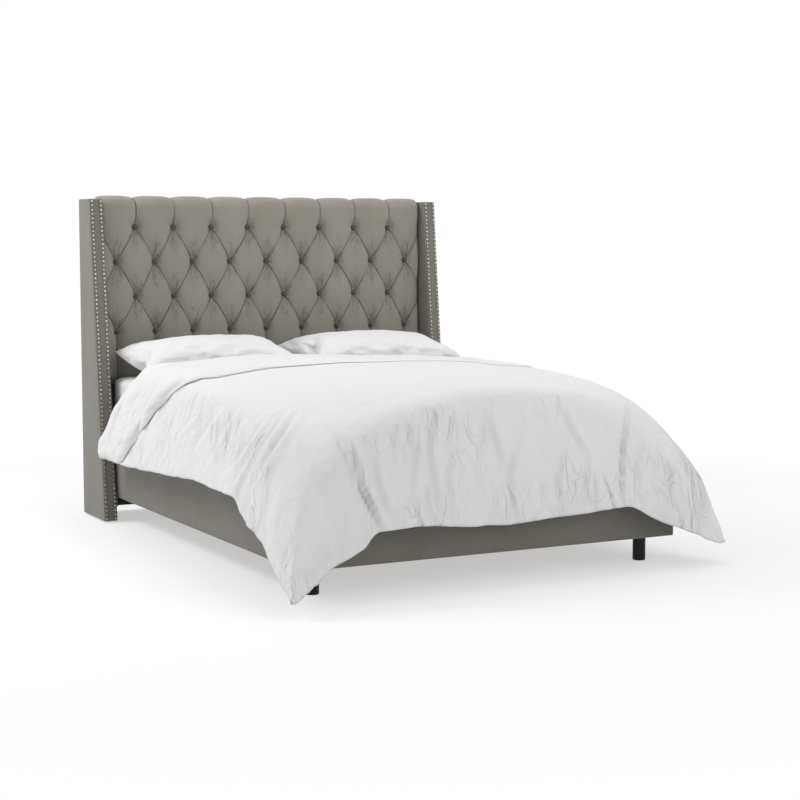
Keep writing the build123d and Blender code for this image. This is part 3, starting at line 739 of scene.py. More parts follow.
def dome(radius: float, height: float, rim: float, steps: int, rings: int) -> bmesh.types.BMesh:
    """Closed dome on the plane z = 0, with a short upright rim below it.

    Args:
        radius: radius of the rim.
        height: whole height.
        rim: height of the rim.
        steps: faces round it.
        rings: rings of faces from the rim to the top.

    Returns:
        The mesh.
    """
    body = bmesh.new()
    turns = [math.pi / 2 * ring / rings for ring in range(rings + 1)]
    outline = [Vector((0, 0, 0)), Vector((radius * 0.96, 0, 0))]
    outline += [Vector((radius * math.cos(turn), 0, rim + (height - rim) * math.sin(turn))) for turn in turns]
    points = [body.verts.new(point) for point in outline]
    lines = [body.edges.new(pair) for pair in zip(points, points[1:])]
    bmesh.ops.spin(body, geom=points + lines, cent=(0, 0, 0), axis=(0, 0, 1), angle=2 * math.pi, steps=steps,
                   use_merge=True)
    bmesh.ops.remove_doubles(body, verts=body.verts[:], dist=radius * 0.002)
    bmesh.ops.recalc_face_normals(body, faces=body.faces[:])
    return body


def extent(body: bmesh.types.BMesh) -> Span:
    """Box round a mesh."""
    low, high = [Vector(end(vertex.co[axis] for vertex in body.verts) for axis in range(3))
                 for end in (min, max)]
    return Span(low, high)


def store_places(body: bmesh.types.BMesh, name: str, columns: int, rows: int,
                 place: Callable[[float, float], Tuple[float, float]]) -> None:
    """Stores a pair of values for each point of a fresh grid as a UV map, which outlasts its subdivision.

    Args:
        body: grid as sheet_grid makes it.
        name: name of the map.
        columns: cells along the first share.
        rows: cells along the second.
        place: gives the two values from a point's shares.
    """
    layer = body.loops.layers.uv.new(name)
    for face in body.faces:
        for loop in face.loops:
            row, column = divmod(loop.vert.index, columns + 1)
            loop[layer].uv = place(column / columns, row / rows)


def sheet_grid(columns: int, rows: int, place: Callable[[float, float], Vector]) -> bmesh.types.BMesh:
    """Open grid whose vertices a function places from their shares along it.

    Args:
        columns: cells along the first share.
        rows: cells along the second.
        place: gives a vertex's place from its two shares.

    Returns:
        The mesh.
    """
    body = bmesh.new()
    bmesh.ops.create_grid(body, x_segments=columns, y_segments=rows, size=0.5)
    for vertex in body.verts:
        vertex.co = place(vertex.co.x + 0.5, vertex.co.y + 0.5)
    return body


@dataclass(frozen=True)
class ClothRun:
    """Settings of one cloth simulation."""

    frames: int
    mass: float = 0.25
    tension: float = 20.0
    shear: float = 8.0
    bending: float = 2.0
    damping: float = 4.0
    air: float = 2.0
    pressure: float = 0.0
    gravity: float = 1.0
    growth: float = 0.0
    quality: int = 6
    distance: float = 4 * MILLI

    def simulate(self, piece: bpy.types.Object, colliders: Sequence[bpy.types.Object] = (),
                 pinned: Sequence[int] = ()) -> None:
        """Runs the cloth from the piece's present shape and keeps the result in its mesh.

        Args:
            piece: the cloth.
            colliders: objects that it lies on.
            pinned: vertices that stay where they are.
        """
        modifier = piece.modifiers.new("Cloth", "CLOTH")
        cloth = modifier.settings
        cloth.quality = self.quality
        cloth.mass = self.mass
        cloth.tension_stiffness = cloth.compression_stiffness = self.tension
        cloth.shear_stiffness = self.shear
        cloth.bending_stiffness = self.bending
        cloth.tension_damping = cloth.compression_damping = self.damping
        cloth.shear_damping = cloth.bending_damping = self.damping
        cloth.air_damping = self.air
        cloth.effector_weights.gravity = self.gravity
        cloth.shrink_min = -self.growth
        if self.pressure:
            cloth.use_pressure = True
            cloth.uniform_pressure_force = self.pressure
        if pinned:
            group = piece.vertex_groups.new(name="pinned")
            group.add(list(pinned), 1.0, "REPLACE")
            cloth.vertex_group_mass = group.name
        modifier.collision_settings.use_collision = bool(colliders)
        modifier.collision_settings.distance_min = self.distance
        modifier.collision_settings.collision_quality = 3
        for collider in colliders:
            collider.modifiers.new("Collision", "COLLISION")
            collider.collision.thickness_outer = self.distance
            collider.collision.cloth_friction = 30
        modifier.point_cache.frame_start = 1
        modifier.point_cache.frame_end = self.frames
        scene = bpy.context.scene
        for number in range(1, self.frames + 1):
            scene.frame_set(number)
        settle(piece)
        piece.vertex_groups.clear()
        scene.frame_set(1)


class Assembly:
    """Part of the bed that makes its pieces and says what they stand for."""

    body = Body.FRAME
    slot = Slot.LINEN

    def __init__(self, palette: Palette) -> None:
        self.palette = palette

    @property
    def material(self) -> bpy.types.Material:
        """Finish of the assembly's slot."""
        return self.palette.materials[self.slot]

    def adopt(self, piece: bpy.types.Object, *nodes: str) -> bpy.types.Object:
        """Puts a piece on the assembly's body, in place of CAD nodes."""
        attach(piece, self.body.value)
        if nodes:
            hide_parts(*nodes)
        LOG.info("%s: %d faces", piece.name, len(piece.data.polygons))
        return piece


# Headboard


@dataclass(frozen=True)
class Level:
    """One row of points across the tufted cover."""

    y: float
    z: float
    turn: float
    flat_z: float
    share: float


class TuftedCover(Assembly):
    """Padded cloth of the headboard, drawn in by rows of buttons and the pleats between them."""

    crown = 33 * MILLI
    between_share = 0.70
    cell_share = 0.96
    cell_spread = 0.08
    scallop = 10 * MILLI
    shallow = 0.34
    seat = 9 * MILLI
    seat_rise = 20 * MILLI
    seat_height = 7 * MILLI
    roll = 40 * MILLI
    button = 14 * MILLI
    button_share = 0.93
    button_rim = 3 * MILLI
    button_height = 14 * MILLI
    button_sink = 2 * MILLI
    rows = 4
    columns = 8
    cells = 24
    fullness = 2.8
    crease = 0.04
    dimple = 3 * MILLI
    dimple_reach = 17 * MILLI
    wrinkle = 1.0 * MILLI
    wrinkle_place = 30 * MILLI
    wrinkle_spread = 22 * MILLI
    wrinkle_start = 20 * MILLI
    wander = 3.5 * MILLI
    wander_scale = 9
    edge_roll = 16 * MILLI
    edge_fall = 12 * MILLI
    bottom_fade = 40 * MILLI
    arc_steps = 12

    def __init__(self, palette: Palette) -> None:
        super().__init__(palette)
        self.cover = Span.of("headboard_tufted_cover")
        buttons = Span.of("tuft_buttons")
        self.pitch_x = (buttons.size.x - 2 * self.button) / self.columns
        self.top_row = buttons.high.z - self.button
        self.pitch_z = (buttons.size.z - 2 * self.button) / (self.rows - 1)
        self.low_row = self.top_row - (self.rows - 1) * self.pitch_z
        self.valley_y = self.cover.low.y + self.crown
        self.valley_z = self.cover.high.z - self.scallop

    def build(self) -> None:
        """Makes the cover and its buttons."""
        cover = new_object("tufted_cover", self._cover_mesh(), self.palette.pleated)
        self.adopt(cover, "headboard_tufted_cover")
        button = dome(self.button * self.button_share, self.button_height, self.button_rim, steps=20, rings=5)
        forward = Matrix.Rotation(math.pi / 2, 4, "X")
        seat_y = self.valley_y - self.seat_height + self.button_sink
        places = [Matrix.Translation((x, seat_y, z)) @ forward for x, z in self.button_places()]
        # the buttons use the darkened linen, which is painted shade
        buttons = new_object("covered_buttons", scattered(button, places), self.palette.button)
        self.adopt(buttons, "tuft_buttons")

    def button_places(self) -> List[Tuple[float, float]]:
        """Places of the buttons on the headboard; long and short rows alternate."""
        places = []
        for row in range(self.rows):
            count = self.columns + row % 2
            places += [((i - (count - 1) / 2) * self.pitch_x, self.top_row - row * self.pitch_z)
                       for i in range(count)]
        return places

    def pleats(self, x: float, z: float) -> Tuple[float, float]:
        """Coordinates that are whole numbers on the two families of pleats."""
        across = x / self.pitch_x
        level = min(max(z, self.low_row), self.top_row)
        up = (level - self.top_row + self.pitch_z) / (2 * self.pitch_z)
        return across + up, across - up

    def _swell(self, coordinate: float) -> float:
        """Share of the padding's fullness, 0 on a pleat and 1 midway between two."""
        share = 2 * abs(coordinate - round(coordinate))
        eased = math.hypot(share, self.crease) - self.crease
        eased /= math.hypot(1, self.crease) - self.crease
        return 1 - (1 - min(1.0, eased)) ** self.fullness

    def _nearest_button(self, x: float, z: float) -> Tuple[int, float, Vector]:
        """Row and column of the nearest button, and the way from it."""
        row = min(max(round((self.top_row - z) / self.pitch_z), 0), self.rows - 1)
        shift = 0.5 if row % 2 == 0 else 0.0
        column = round(x / self.pitch_x - shift) + shift
        return row, column, Vector((x - column * self.pitch_x, z - self.top_row + row * self.pitch_z))

    def height(self, x: float, z: float) -> float:
        """Height of the padding above its deepest pleats."""
        first, second = self.pleats(x, z)
        one, two = self._swell(first), self._swell(second)
        cell = noise.cell(Vector((math.floor(first) + 0.5, math.floor(second) + 0.5, 0.5)))
        between = self.crown * self.between_share
        middle = (self.crown - between) * (self.cell_share + self.cell_spread * cell)
        height = middle * one * two + between * (one + two - one * two)
        above = (z - self.top_row) / (self.valley_z - self.roll - self.top_row)
        depth = 1 - (1 - self.shallow) * smooth(above * 1.6) * (1 - smooth(above - 0.9))
        height = self.crown - (self.crown - height) * depth
        away = self._nearest_button(x, z)[2].length
        return blend(self.seat_height, height, smooth((away - self.seat) / self.seat_rise))

    def _tuck(self, x: float, z: float) -> float:
        """Dimple and small wrinkles round the nearest button."""
        row, column, way = self._nearest_button(x, z)
        distance = way.length
        turn = math.atan2(way.y, way.x)
        dent = -self.dimple * math.exp(-(distance / self.dimple_reach) ** 2)
        fan = math.sin(11 * turn + 5 * column + 3 * row) + 0.6 * math.sin(17 * turn + 2 * column)
        reach = math.exp(-abs(distance - self.wrinkle_place) / self.wrinkle_spread)
        reach *= min(1.0, distance / self.wrinkle_start)
        return dent + self.wrinkle * fan * reach

    def _profile(self) -> List[Level]:
        """Section of the cover from its bottom to the back of its top."""
        step = self.pitch_z / self.cells
        levels = []
        low = self.cover.low.z
        count = round((self.low_row - low) / step)
        for i in range(count):
            z = blend(low, self.low_row, i / count)
            levels.append(Level(self.valley_y, z, 0.0, z, smooth((z - low) / self.bottom_fade)))
        for i in range(self.cells * (self.rows - 1)):
            z = self.low_row + i * step
            levels.append(Level(self.valley_y, z, 0.0, z, 1.0))
        roll_z = self.valley_z - self.roll
        count = round((roll_z - self.top_row) / step)
        for i in range(count):
            z = blend(self.top_row, roll_z, i / count)
            levels.append(Level(self.valley_y, z, 0.0, z, 1.0))
        top_share = self.scallop / self.crown
        for i in range(self.arc_steps + 1):
            turn = math.pi / 2 * i / self.arc_steps
            share = blend(1.0, top_share, smooth(i / self.arc_steps))
            y = self.valley_y + self.roll * (1 - math.cos(turn))
            z = roll_z + self.roll * math.sin(turn)
            levels.append(Level(y, z, turn, roll_z + self.roll * turn, share))
        back_z = self.valley_z + self.roll
        levels.append(Level(self.cover.high.y, self.valley_z, math.pi / 2, back_z, top_share))
        return levels

    def _cover_mesh(self) -> bmesh.types.BMesh:
        """Closed mesh whose edges run along the pleats."""
        step = self.pitch_x / (2 * self.cells)
        half = self.cover.high.x
        count = int(half / step)
        xs = [-half] + [i * step for i in range(-count, count + 1)] + [half]
        levels = self._profile()
        body = bmesh.new()
        bmesh.ops.create_grid(body, x_segments=len(xs) - 1, y_segments=len(levels) - 1, size=0.5)
        flat = {}
        for vertex in body.verts:
            column = round((vertex.co.x + 0.5) * (len(xs) - 1))
            row = round((vertex.co.y + 0.5) * (len(levels) - 1))
            flat[vertex] = (xs[column], levels[row].flat_z)
            vertex.co = self._cover_point(xs[column], levels[row])
        self._split_along_pleats(body, flat)
        self._map_pleats(body, flat)
        self._close_back(body)
        bmesh.ops.recalc_face_normals(body, faces=body.faces[:])
        return body

    def _cover_point(self, x: float, level: Level) -> Vector:
        """Place of one point of the cover."""
        inset = min(1.0, (self.cover.high.x - abs(x)) / self.edge_roll)
        edge = math.sqrt(max(0.0, 1 - (1 - inset) ** 2))
        forward, upward = math.cos(level.turn), math.sin(level.turn)
        rise = self.height(x, level.flat_z) * level.share * edge - self.edge_fall * (1 - edge) * forward
        if level.flat_z <= self.valley_z:
            rise += self._tuck(x, level.flat_z) * level.share
        cloth_x, cloth_z = x * self.wander_scale, level.flat_z * self.wander_scale
        sway = self.wander * noise.noise(Vector((cloth_x, cloth_z, 1.5))) * edge
        lift = self.wander * noise.noise(Vector((cloth_x, cloth_z, 7.5))) * forward
        return Vector((x + sway, level.y - rise * forward, level.z + rise * upward + lift * level.share))

    def _split_along_pleats(self, body: bmesh.types.BMesh, flat: Dict) -> None:
        """Splits each cell into triangles along the pleat family nearest to it."""
        for face in list(body.faces):
            corners = list(face.verts)
            x = sum(flat[corner][0] for corner in corners) / 4
            z = sum(flat[corner][1] for corner in corners) / 4
            first, second = self.pleats(x, z)
            falls = abs(first - round(first)) < abs(second - round(second))
            low = min(corners, key=lambda corner: flat[corner][0] + (-1 if falls else 1) * flat[corner][1])
            high = max(corners, key=lambda corner: flat[corner][0] + (-1 if falls else 1) * flat[corner][1])
            bmesh.utils.face_split(face, low, high)

    def _map_pleats(self, body: bmesh.types.BMesh, flat: Dict) -> None:
        """Stores the pleat coordinates as a UV map for the finish."""
        layer = body.loops.layers.uv.new("pleats")
        for face in body.faces:
            for loop in face.loops:
                loop[layer].uv = self.pleats(*flat[loop.vert])

    def _close_back(self, body: bmesh.types.BMesh) -> None:
        """Runs the border back to the panel and closes it there."""
        border = [edge for edge in body.edges if edge.is_boundary]
        made = bmesh.ops.extrude_edge_only(body, edges=border)["geom"]
        for vertex in made:
            if isinstance(vertex, bmesh.types.BMVert):
                vertex.co.y = self.cover.high.y
        bmesh.ops.remove_doubles(body, verts=body.verts[:], dist=0.01 * MILLI)
        rim = [edge for edge in body.edges if edge.is_boundary]
        bmesh.ops.contextual_create(body, geom=rim)


class FlatCovers(Assembly):
    """Plain cloth on the front of the headboard below the tufting, and dust cloth on its back."""

    front_inset = 1.5 * MILLI
    front_ripple = 1 * MILLI
    front_thickness = 1.4 * MILLI
    back_ripple = 0.3 * MILLI
    back_sag = 5 * MILLI
    back_thickness = 0.8 * MILLI
    sag_reach = 0.12
    cells = (80, 64)

    def build(self) -> None:
        """Makes both cloths as stretched sheets."""
        lower = Span.of("headboard_lower_cover")
        body = self._sheet(lower, lower.low.y + self.front_inset, self.front_ripple, 0.0)
        cloth = new_object("lower_cover", body, self.material)
        self._finish(cloth, lower, self.front_thickness, "headboard_lower_cover")
        self.slot = Slot.DUST_CLOTH
        back = Span.of("headboard_back_cover")
        body = self._sheet(back, back.high.y, self.back_ripple, self.back_sag)
        cloth = new_object("back_cover", body, self.material)
        self._finish(cloth, back, self.back_thickness, "headboard_back_cover")

    def _sheet(self, span: Span, y: float, ripple: float, sag: float) -> bmesh.types.BMesh:
        """Grid over a span, rippled by its tacks and sagging into the frame behind."""
        def place(across: float, up: float) -> Vector:
            x, z = blend(span.low.x, span.high.x, across), blend(span.low.z, span.high.z, up)
            hollow = smooth(self._off_frame(x, z) / self.sag_reach) if sag else 0.0
            wave = ripple * (0.5 + 0.5 * noise.noise(Vector((x * 5, z * 3, 2.5))))
            return Vector((x, y - (sag * hollow + wave) * (1 if sag else 0.5), z))
        return sheet_grid(*self.cells, place)

    def _off_frame(self, x: float, z: float) -> float:
        """Distance from a point of the back to the nearest post or rail of the headboard's frame."""
        left, right = Span.of("headboard_post_left"), Span.of("headboard_post_right")
        away = [x - left.high.x, right.low.x - x]
        for name in ("bottom", "middle", "top"):
            rail = Span.of("headboard_%s_rail" % name)
            away.append(max(rail.low.z - z, z - rail.high.z))
        return max(0.0, min(away))

    def _finish(self, cloth: bpy.types.Object, span: Span, thickness: float, node: str) -> None:
        thicken(cloth, [1.0] * len(cloth.data.vertices), thickness, 0.0)
        self.adopt(cloth, node)


# Wings


class Wings(Assembly):
    """Padded covers of the two wings, with two rows of nails down the front of each."""

    top_depth = 155 * MILLI
    edge = 6 * MILLI
    puff = 2.2 * MILLI
    nail_radius = 6.0 * MILLI
    nail_height = 4.6 * MILLI
    nail_rim = 1.8 * MILLI
    nail_sink = 0.8 * MILLI
    nail_pitch = 18.6 * MILLI
    nail_inset = 10 * MILLI
    nail_end = 12 * MILLI
    cuts = (6, 18, 70)

    def build(self) -> None:
        """Makes both covers and their nails."""
        for side, sign in (("left", -1), ("right", 1)):
            span = Span.of("wing_cover_" + side)
            # the wing cloth uses the darker linen copy, which is painted shade
            cover = new_object("wing_cloth_" + side, self._cover_mesh(span, sign), self.palette.side)
            self.adopt(cover, "wing_cover_" + side)
            nail = dome(self.nail_radius, self.nail_height, self.nail_rim, steps=9, rings=3)
            nail.normal_update()
            # painted shade: the upright rim faces take the near-black rim material
            for face in nail.faces:
                face.material_index = 1 if face.normal.z < 0.5 else 0
            nails = new_object("nails_" + side, scattered(nail, self._nail_places(span)), self.palette.nail)
            nails.data.materials.append(self.palette.nail_rim)
            self.adopt(nails)

    def front_y(self, span: Span, z: float) -> float:
        """Place of the slanting front face at a height."""
        top_y = span.high.y - self.top_depth
        return blend(span.low.y, top_y, (z - span.low.z) / span.size.z)

    def _cover_mesh(self, span: Span, sign: int) -> bmesh.types.BMesh:
        """Slanted box, puffed a little on its outer and front faces."""
        def place(share: Vector) -> Vector:
            z = blend(span.low.z, span.high.z, share.z)
            y = blend(self.front_y(span, z), span.high.y, share.y)
            x = blend(span.low.x, span.high.x, share.x)
            swell = (1 - abs(2 * share.z - 1) ** 12) * self.puff
            uneven = 1 + 0.5 * noise.noise(Vector((y * 4, z * 4, sign)))
            outer = share.x == (1 if sign > 0 else 0)
            if outer:
                x += sign * swell * (1 - abs(2 * share.y - 1) ** 6) * uneven
            if share.y == 0:
                y -= 0.7 * swell * (1 - abs(2 * share.x - 1) ** 4) * uneven
            return Vector((x, y, z))
        body = padded_box(self.cuts, self.edge, place)
        bmesh.ops.recalc_face_normals(body, faces=body.faces[:])
        return body

    def _nail_places(self, span: Span) -> List[Matrix]:
        """Two rows of nails down the front face, each set square to it."""
        slant = math.atan2(self.front_y(span, span.high.z) - self.front_y(span, span.low.z), span.size.z)
        tilt = Matrix.Rotation(math.pi / 2 - slant, 4, "X")
        length = span.size.z - 2 * self.nail_end
        count = round(length / self.nail_pitch)
        chance = random.Random(5)
        places = []
        for x in (span.low.x + self.nail_inset, span.high.x - self.nail_inset):
            for i in range(count + 1):
                z = span.low.z + self.nail_end + length * i / count + chance.uniform(-0.6, 0.6) * MILLI
                y = self.front_y(span, z) - self.nail_sink
                places.append(Matrix.Translation((x + chance.uniform(-0.5, 0.5) * MILLI, y, z)) @ tilt)
        return places


# Rails


class RailCovers(Assembly):
    """Padded cloth wrapped round the boards of the side rails and the footboard."""

    thickness = 3 * MILLI
    edge = 5 * MILLI
    top_return = 40 * MILLI
    bottom_return = 25 * MILLI
    seam_height = 9 * MILLI
    seam_step = 1.5 * MILLI
    seam_row = 2
    seam_depth = 1.4 * MILLI
    puff = 1.2 * MILLI
    skin_share = 0.9
    rows = 14
    long_cuts = 90
    flap_edge = Vector((1, 1, 1)) * MILLI
    flap_cuts = (8, 8, 8)

    def build(self) -> None:
        """Makes the three covers."""
        for side, sign in (("left", -1), ("right", 1)):
            node = "side_rail_cover_" + side
            self._wrap("rail_cloth_" + side, node, Span.of("side_rail_board_" + side), 0, sign)
        self._wrap("footboard_cloth", "footboard_cover", Span.of("footboard_board"), 1, -1)

    def _wrap(self, name: str, node: str, board: Span, axis: int, sign: int) -> None:
        """Shell round a board that is open behind it, with returns above and below the opening.

        Args:
            name: name of the piece.
            node: CAD node that it stands for.
            board: the board inside.
            axis: axis that the board's face looks along.
            sign: direction that it looks in.
        """
        span = Span.of(node)
        outer, inner = (span.high, board.low) if sign > 0 else (span.low, board.high)
        low, high = span.low.copy(), span.high.copy()
        low[axis], high[axis] = sorted((outer[axis], inner[axis]))
        body = self._skin(low, high, axis, sign)
        for bottom, top in ((low.z, low.z + self.bottom_return), (high.z - self.top_return, high.z)):
            flap_low, flap_high = span.low.copy(), span.high.copy()
            back = span.low[axis] if sign > 0 else span.high[axis]
            flap_low[axis], flap_high[axis] = sorted((back, inner[axis]))
            flap_low.z, flap_high.z = bottom, top
            if axis == 1:
                flap_low.x, flap_high.x = flap_low.x + span.size.y, flap_high.x - span.size.y
            flap = rounded_block(flap_low, flap_high, self.flap_edge, self.flap_cuts)
            mesh = bpy.data.meshes.new("flap")
            flap.to_mesh(mesh)
            flap.free()
            body.from_mesh(mesh)
            bpy.data.meshes.remove(mesh)
        # the rail and footboard cloth uses the darker linen copy, which is painted shade
        cover = new_object(name, body, self.palette.side)
        self.adopt(cover, node)

    def _skin(self, low: Vector, high: Vector, axis: int, sign: int) -> bmesh.types.BMesh:
        """Outer skin with a seam near its bottom edge, thickened inwards."""
        long = 1 - axis
        heights = [0.0] + [self.seam_height + i * self.seam_step for i in (-1, 0, 1)]
        cuts = [3, 3, len(heights) - 1 + self.rows]
        cuts[long] = self.long_cuts
        above = self.rows + 1
        levels = heights + [blend(heights[-1], high.z - low.z, (i + 1) / above) for i in range(above)]

        def place(share: Vector) -> Vector:
            row = round(share.z * (len(levels) - 1))
            x, y = blend(low.x, high.x, share.x), blend(low.y, high.y, share.y)
            point = Vector((x, y, low.z + levels[row]))
            if share[axis] == (1 if sign > 0 else 0):
                along = (1 - abs(2 * share[long] - 1) ** 20) * (1 - abs(2 * share.z - 1) ** 8)
                uneven = 1 + 0.8 * noise.noise(Vector((point[long] * 5, point.z * 8, axis)))
                point[axis] += sign * self.puff * along * uneven
                if row == self.seam_row:
                    ends = smooth(30 * (0.5 - abs(share[long] - 0.5)) - 0.6)
                    point[axis] -= sign * self.seam_depth * ends
            return point

        body = padded_box(tuple(cuts), self.edge, place)
        bmesh.ops.recalc_face_normals(body, faces=body.faces[:])
        behind = [face for face in body.faces if face.normal[axis] * sign < -0.9]
        if axis == 0:
            behind += [face for face in body.faces if abs(face.normal.y) > 0.9]
        bmesh.ops.delete(body, geom=behind, context="FACES")
        skin = new_object("skin", body, self.material)
        thicken(skin, [1.0] * len(skin.data.vertices), self.thickness * self.skin_share, -1.0)
        shell = bmesh.new()
        shell.from_mesh(skin.data)
        bpy.data.objects.remove(skin)
        return shell


# Mattress, sheet and pillows


class MattressSet(Assembly):
    """Mattress with piping round its edges, and the fitted sheet over it."""

    body = Body.MATTRESS
    slot = Slot.TICKING
    corner = Vector((60, 60, 26)) * MILLI
    cuts = (48, 56, 16)
    piping = 5 * MILLI
    piping_sink = 0.7
    arc_steps = 8
    sheet_gap = 0.7 * MILLI
    sheet_thickness = 0.8 * MILLI
    sheet_cuts = (60, 72, 24)
    sheet_fold = 1.6 * MILLI
    fold_reach = 0.25
    skirt = 0.36

    def build(self) -> None:
        """Makes the mattress and its sheet."""
        span = Span.of("mattress")
        sheet_span = Span.of("fitted_sheet")
        block = rounded_block(span.low, span.high, self.corner, self.cuts)
        self._sink(block, span)
        mattress = new_object("mattress_block", block, self.material)
        self._add_piping(mattress, span)
        self.adopt(mattress, "mattress")
        self.slot = Slot.SHEET
        sheet = new_object("bottom_sheet", self._sheet_mesh(span, sheet_span), self.material)
        thicken(sheet, [1.0] * len(sheet.data.vertices), self.sheet_thickness, 1.0)
        self.adopt(sheet, "fitted_sheet")

    def _add_piping(self, mattress: bpy.types.Object, span: Span) -> None:
        """Joins two cords of piping to the mattress, round its bottom and top borders."""
        body = bmesh.new()
        body.from_mesh(mattress.data)
        inset = self.corner.x
        radius = inset - self.piping_sink * self.piping
        sag = Sag.of_bed()
        for z in (span.low.z + self.corner.z, span.high.z - self.corner.z):
            line = bpy.data.curves.new("piping", "CURVE")
            line.dimensions = "3D"
            line.bevel_depth = self.piping
            spline = line.splines.new("POLY")
            points = []
            for number, (side, end) in enumerate(((1, 1), (-1, 1), (-1, -1), (1, -1))):
                centre = Vector((span.middle.x + side * (span.size.x / 2 - inset),
                                 span.middle.y + end * (span.size.y / 2 - inset), z))
                for step in range(self.arc_steps + 1):
                    turn = math.pi / 2 * (number + step / self.arc_steps)
                    points.append(centre + Vector((math.cos(turn), math.sin(turn), 0)) * radius)
            up = smooth((z - span.low.z) / span.size.z)
            for point in points:
                point.z -= sag.under(point.x, point.y) * up
            spline.points.add(len(points) - 1)
            for target, point in zip(spline.points, points):
                target.co = (*point, 1.0)
            spline.use_cyclic_u = True
            cord = bpy.data.objects.new("piping", line)
            bpy.context.scene.collection.objects.link(cord)
            bpy.context.view_layer.update()
            mesh = bpy.data.meshes.new_from_object(cord)
            body.from_mesh(mesh)
            bpy.data.objects.remove(cord)
            bpy.data.meshes.remove(mesh)
        body.to_mesh(mattress.data)
        body.free()

    def _sink(self, body: bmesh.types.BMesh, span: Span) -> None:
        """Lets the soft top of the mattress sink towards its foot corners."""
        sag = Sag.of_bed()
        for vertex in body.verts:
            up = smooth((vertex.co.z - span.low.z) / span.size.z)
            vertex.co.z -= sag.under(vertex.co.x, vertex.co.y) * up

    def _sheet_mesh(self, span: Span, sheet_span: Span) -> bmesh.types.BMesh:
        """Skin just off the mattress, open below its hem and drawn into small folds by its corners."""
        gap = Vector((1, 1, 1)) * self.sheet_gap
        body = rounded_block(span.low - gap, span.high + gap, self.corner + gap, self.sheet_cuts)
        self._sink(body, span)
        under = [face for face in body.faces if face.calc_center_median().z < sheet_span.low.z]
        bmesh.ops.delete(body, geom=under, context="FACES")
        body.normal_update()
        for vertex in body.verts:
            upright = 1 - abs(vertex.normal.z)
            near = max(0.0, 1 - abs(abs(vertex.co.x) - span.high.x) / self.fold_reach)
            ripple = 0.5 + 0.5 * noise.noise(Vector((vertex.co.x * 40, vertex.co.y * 22, vertex.co.z * 4)))
            vertex.co += vertex.normal * (self.sheet_fold * ripple * (0.2 + 0.8 * upright * near))
        return body


class Pillows(Assembly):
    """Two pillows: envelopes blown up by cloth pressure, then set on the sheet."""

    body = Body.MATTRESS
    slot = Slot.PILLOW
    envelope = Vector((0.83, 0.50))
    columns = 44
    rows = 26
    tilt = math.radians(7)
    fullness = 198 * MILLI
    crease = 2.4 * MILLI
    loose = 12 * MILLI
    loose_reach = 0.05
    press = 12 * MILLI
    rest_gap = 0.5 * MILLI
    rest_lift = 0.4 * MILLI
    rest_height = 0.03
    rest_share = 0.5
    blowing = ClothRun(frames=22, mass=0.2, tension=12, bending=0.3, air=3, pressure=7.0, gravity=0.0)

    def build(self) -> None:
        """Makes both pillows."""
        shape = self._inflated()
        for side, sign in (("left", -1), ("right", 1)):
            span = Span.of("pillow_" + side)
            piece = new_object("pillow_case_" + side, self._placed(shape, span, sign), self.material)
            refine(piece, 1)
            self._crease(piece, span, sign)
            self.adopt(piece, "pillow_" + side)

    def _inflated(self) -> bpy.types.Mesh:
        """Flat envelope after its simulation, centred on the origin."""
        def place(across: float, along: float) -> Vector:
            return Vector(((across - 0.5) * self.envelope.x, (along - 0.5) * self.envelope.y, 0))
        body = sheet_grid(self.columns, self.rows, place)
        made = bmesh.ops.duplicate(body, geom=body.verts[:] + body.edges[:] + body.faces[:])["geom"]
        lower = [item for item in made if isinstance(item, bmesh.types.BMFace)]
        bmesh.ops.reverse_faces(body, faces=lower)
        half = self.envelope / 2
        below = {vertex for face in lower for vertex in face.verts}
        for vertex in body.verts:
            rim = min(half.x - abs(vertex.co.x), half.y - abs(vertex.co.y))
            rise = self.loose * smooth(rim / self.loose_reach)
            vertex.co.z = -rise if vertex in below else rise
        bmesh.ops.remove_doubles(body, verts=body.verts[:], dist=0.1 * MILLI)
        bmesh.ops.recalc_face_normals(body, faces=body.faces[:])
        piece = new_object("envelope", body, self.material)
        self.blowing.simulate(piece)
        mesh = piece.data.copy()
        bpy.data.objects.remove(piece)
        return mesh

    def _placed(self, shape: bpy.types.Mesh, span: Span, sign: int) -> bmesh.types.BMesh:
        """Copy of the envelope tilted and fitted to its place, flat where it rests."""
        body = bmesh.new()
        body.from_mesh(shape)
        if sign > 0:
            bmesh.ops.scale(body, vec=(-1, 1, 1), verts=body.verts[:])
            bmesh.ops.reverse_faces(body, faces=body.faces[:])
        size = extent(body).size
        depth = span.size.y / math.cos(self.tilt)
        factors = Vector((span.size.x / size.x, depth / size.y, self.fullness / max(size.z, 0.01)))
        bmesh.ops.scale(body, vec=factors, verts=body.verts[:])
        bmesh.ops.rotate(body, cent=(0, 0, 0), matrix=Matrix.Rotation(self.tilt, 3, "X"), verts=body.verts[:])
        shift = span.low - extent(body).low - Vector((0, 0, self.press))
        bmesh.ops.translate(body, vec=shift, verts=body.verts[:])
        floor = span.low.z + self.rest_gap
        for vertex in body.verts:
            if vertex.co.z < floor + self.rest_height:
                above = max(0.0, vertex.co.z - floor)
                vertex.co.z = floor + self.rest_share * above + self.rest_lift
        return body

    def _crease(self, piece: bpy.types.Object, span: Span, sign: int) -> None:
        """Adds creases that run in from the corners and soft dents on the crown."""
        normals = [vertex.normal.copy() for vertex in piece.data.vertices]
        for vertex, normal in zip(piece.data.vertices, normals):
            share = Vector(((vertex.co.x - span.middle.x) / (span.size.x / 2),
                            (vertex.co.y - span.middle.y) / (span.size.y / 2)))
            corner = Vector((math.copysign(1, share.x), math.copysign(1, share.y)))
            away = share - corner
            turn = math.atan2(away.y, away.x)
            fan = math.sin(16 * turn + sign) * math.exp(-away.length / 0.35)
            soft = noise.noise(Vector((vertex.co.x * 7, vertex.co.y * 9, sign * 3.5)))
            top = smooth((vertex.co.z - span.low.z - 0.02) / 0.03)
            vertex.co += normal * self.crease * (fan + 0.9 * soft) * top


# Duvet


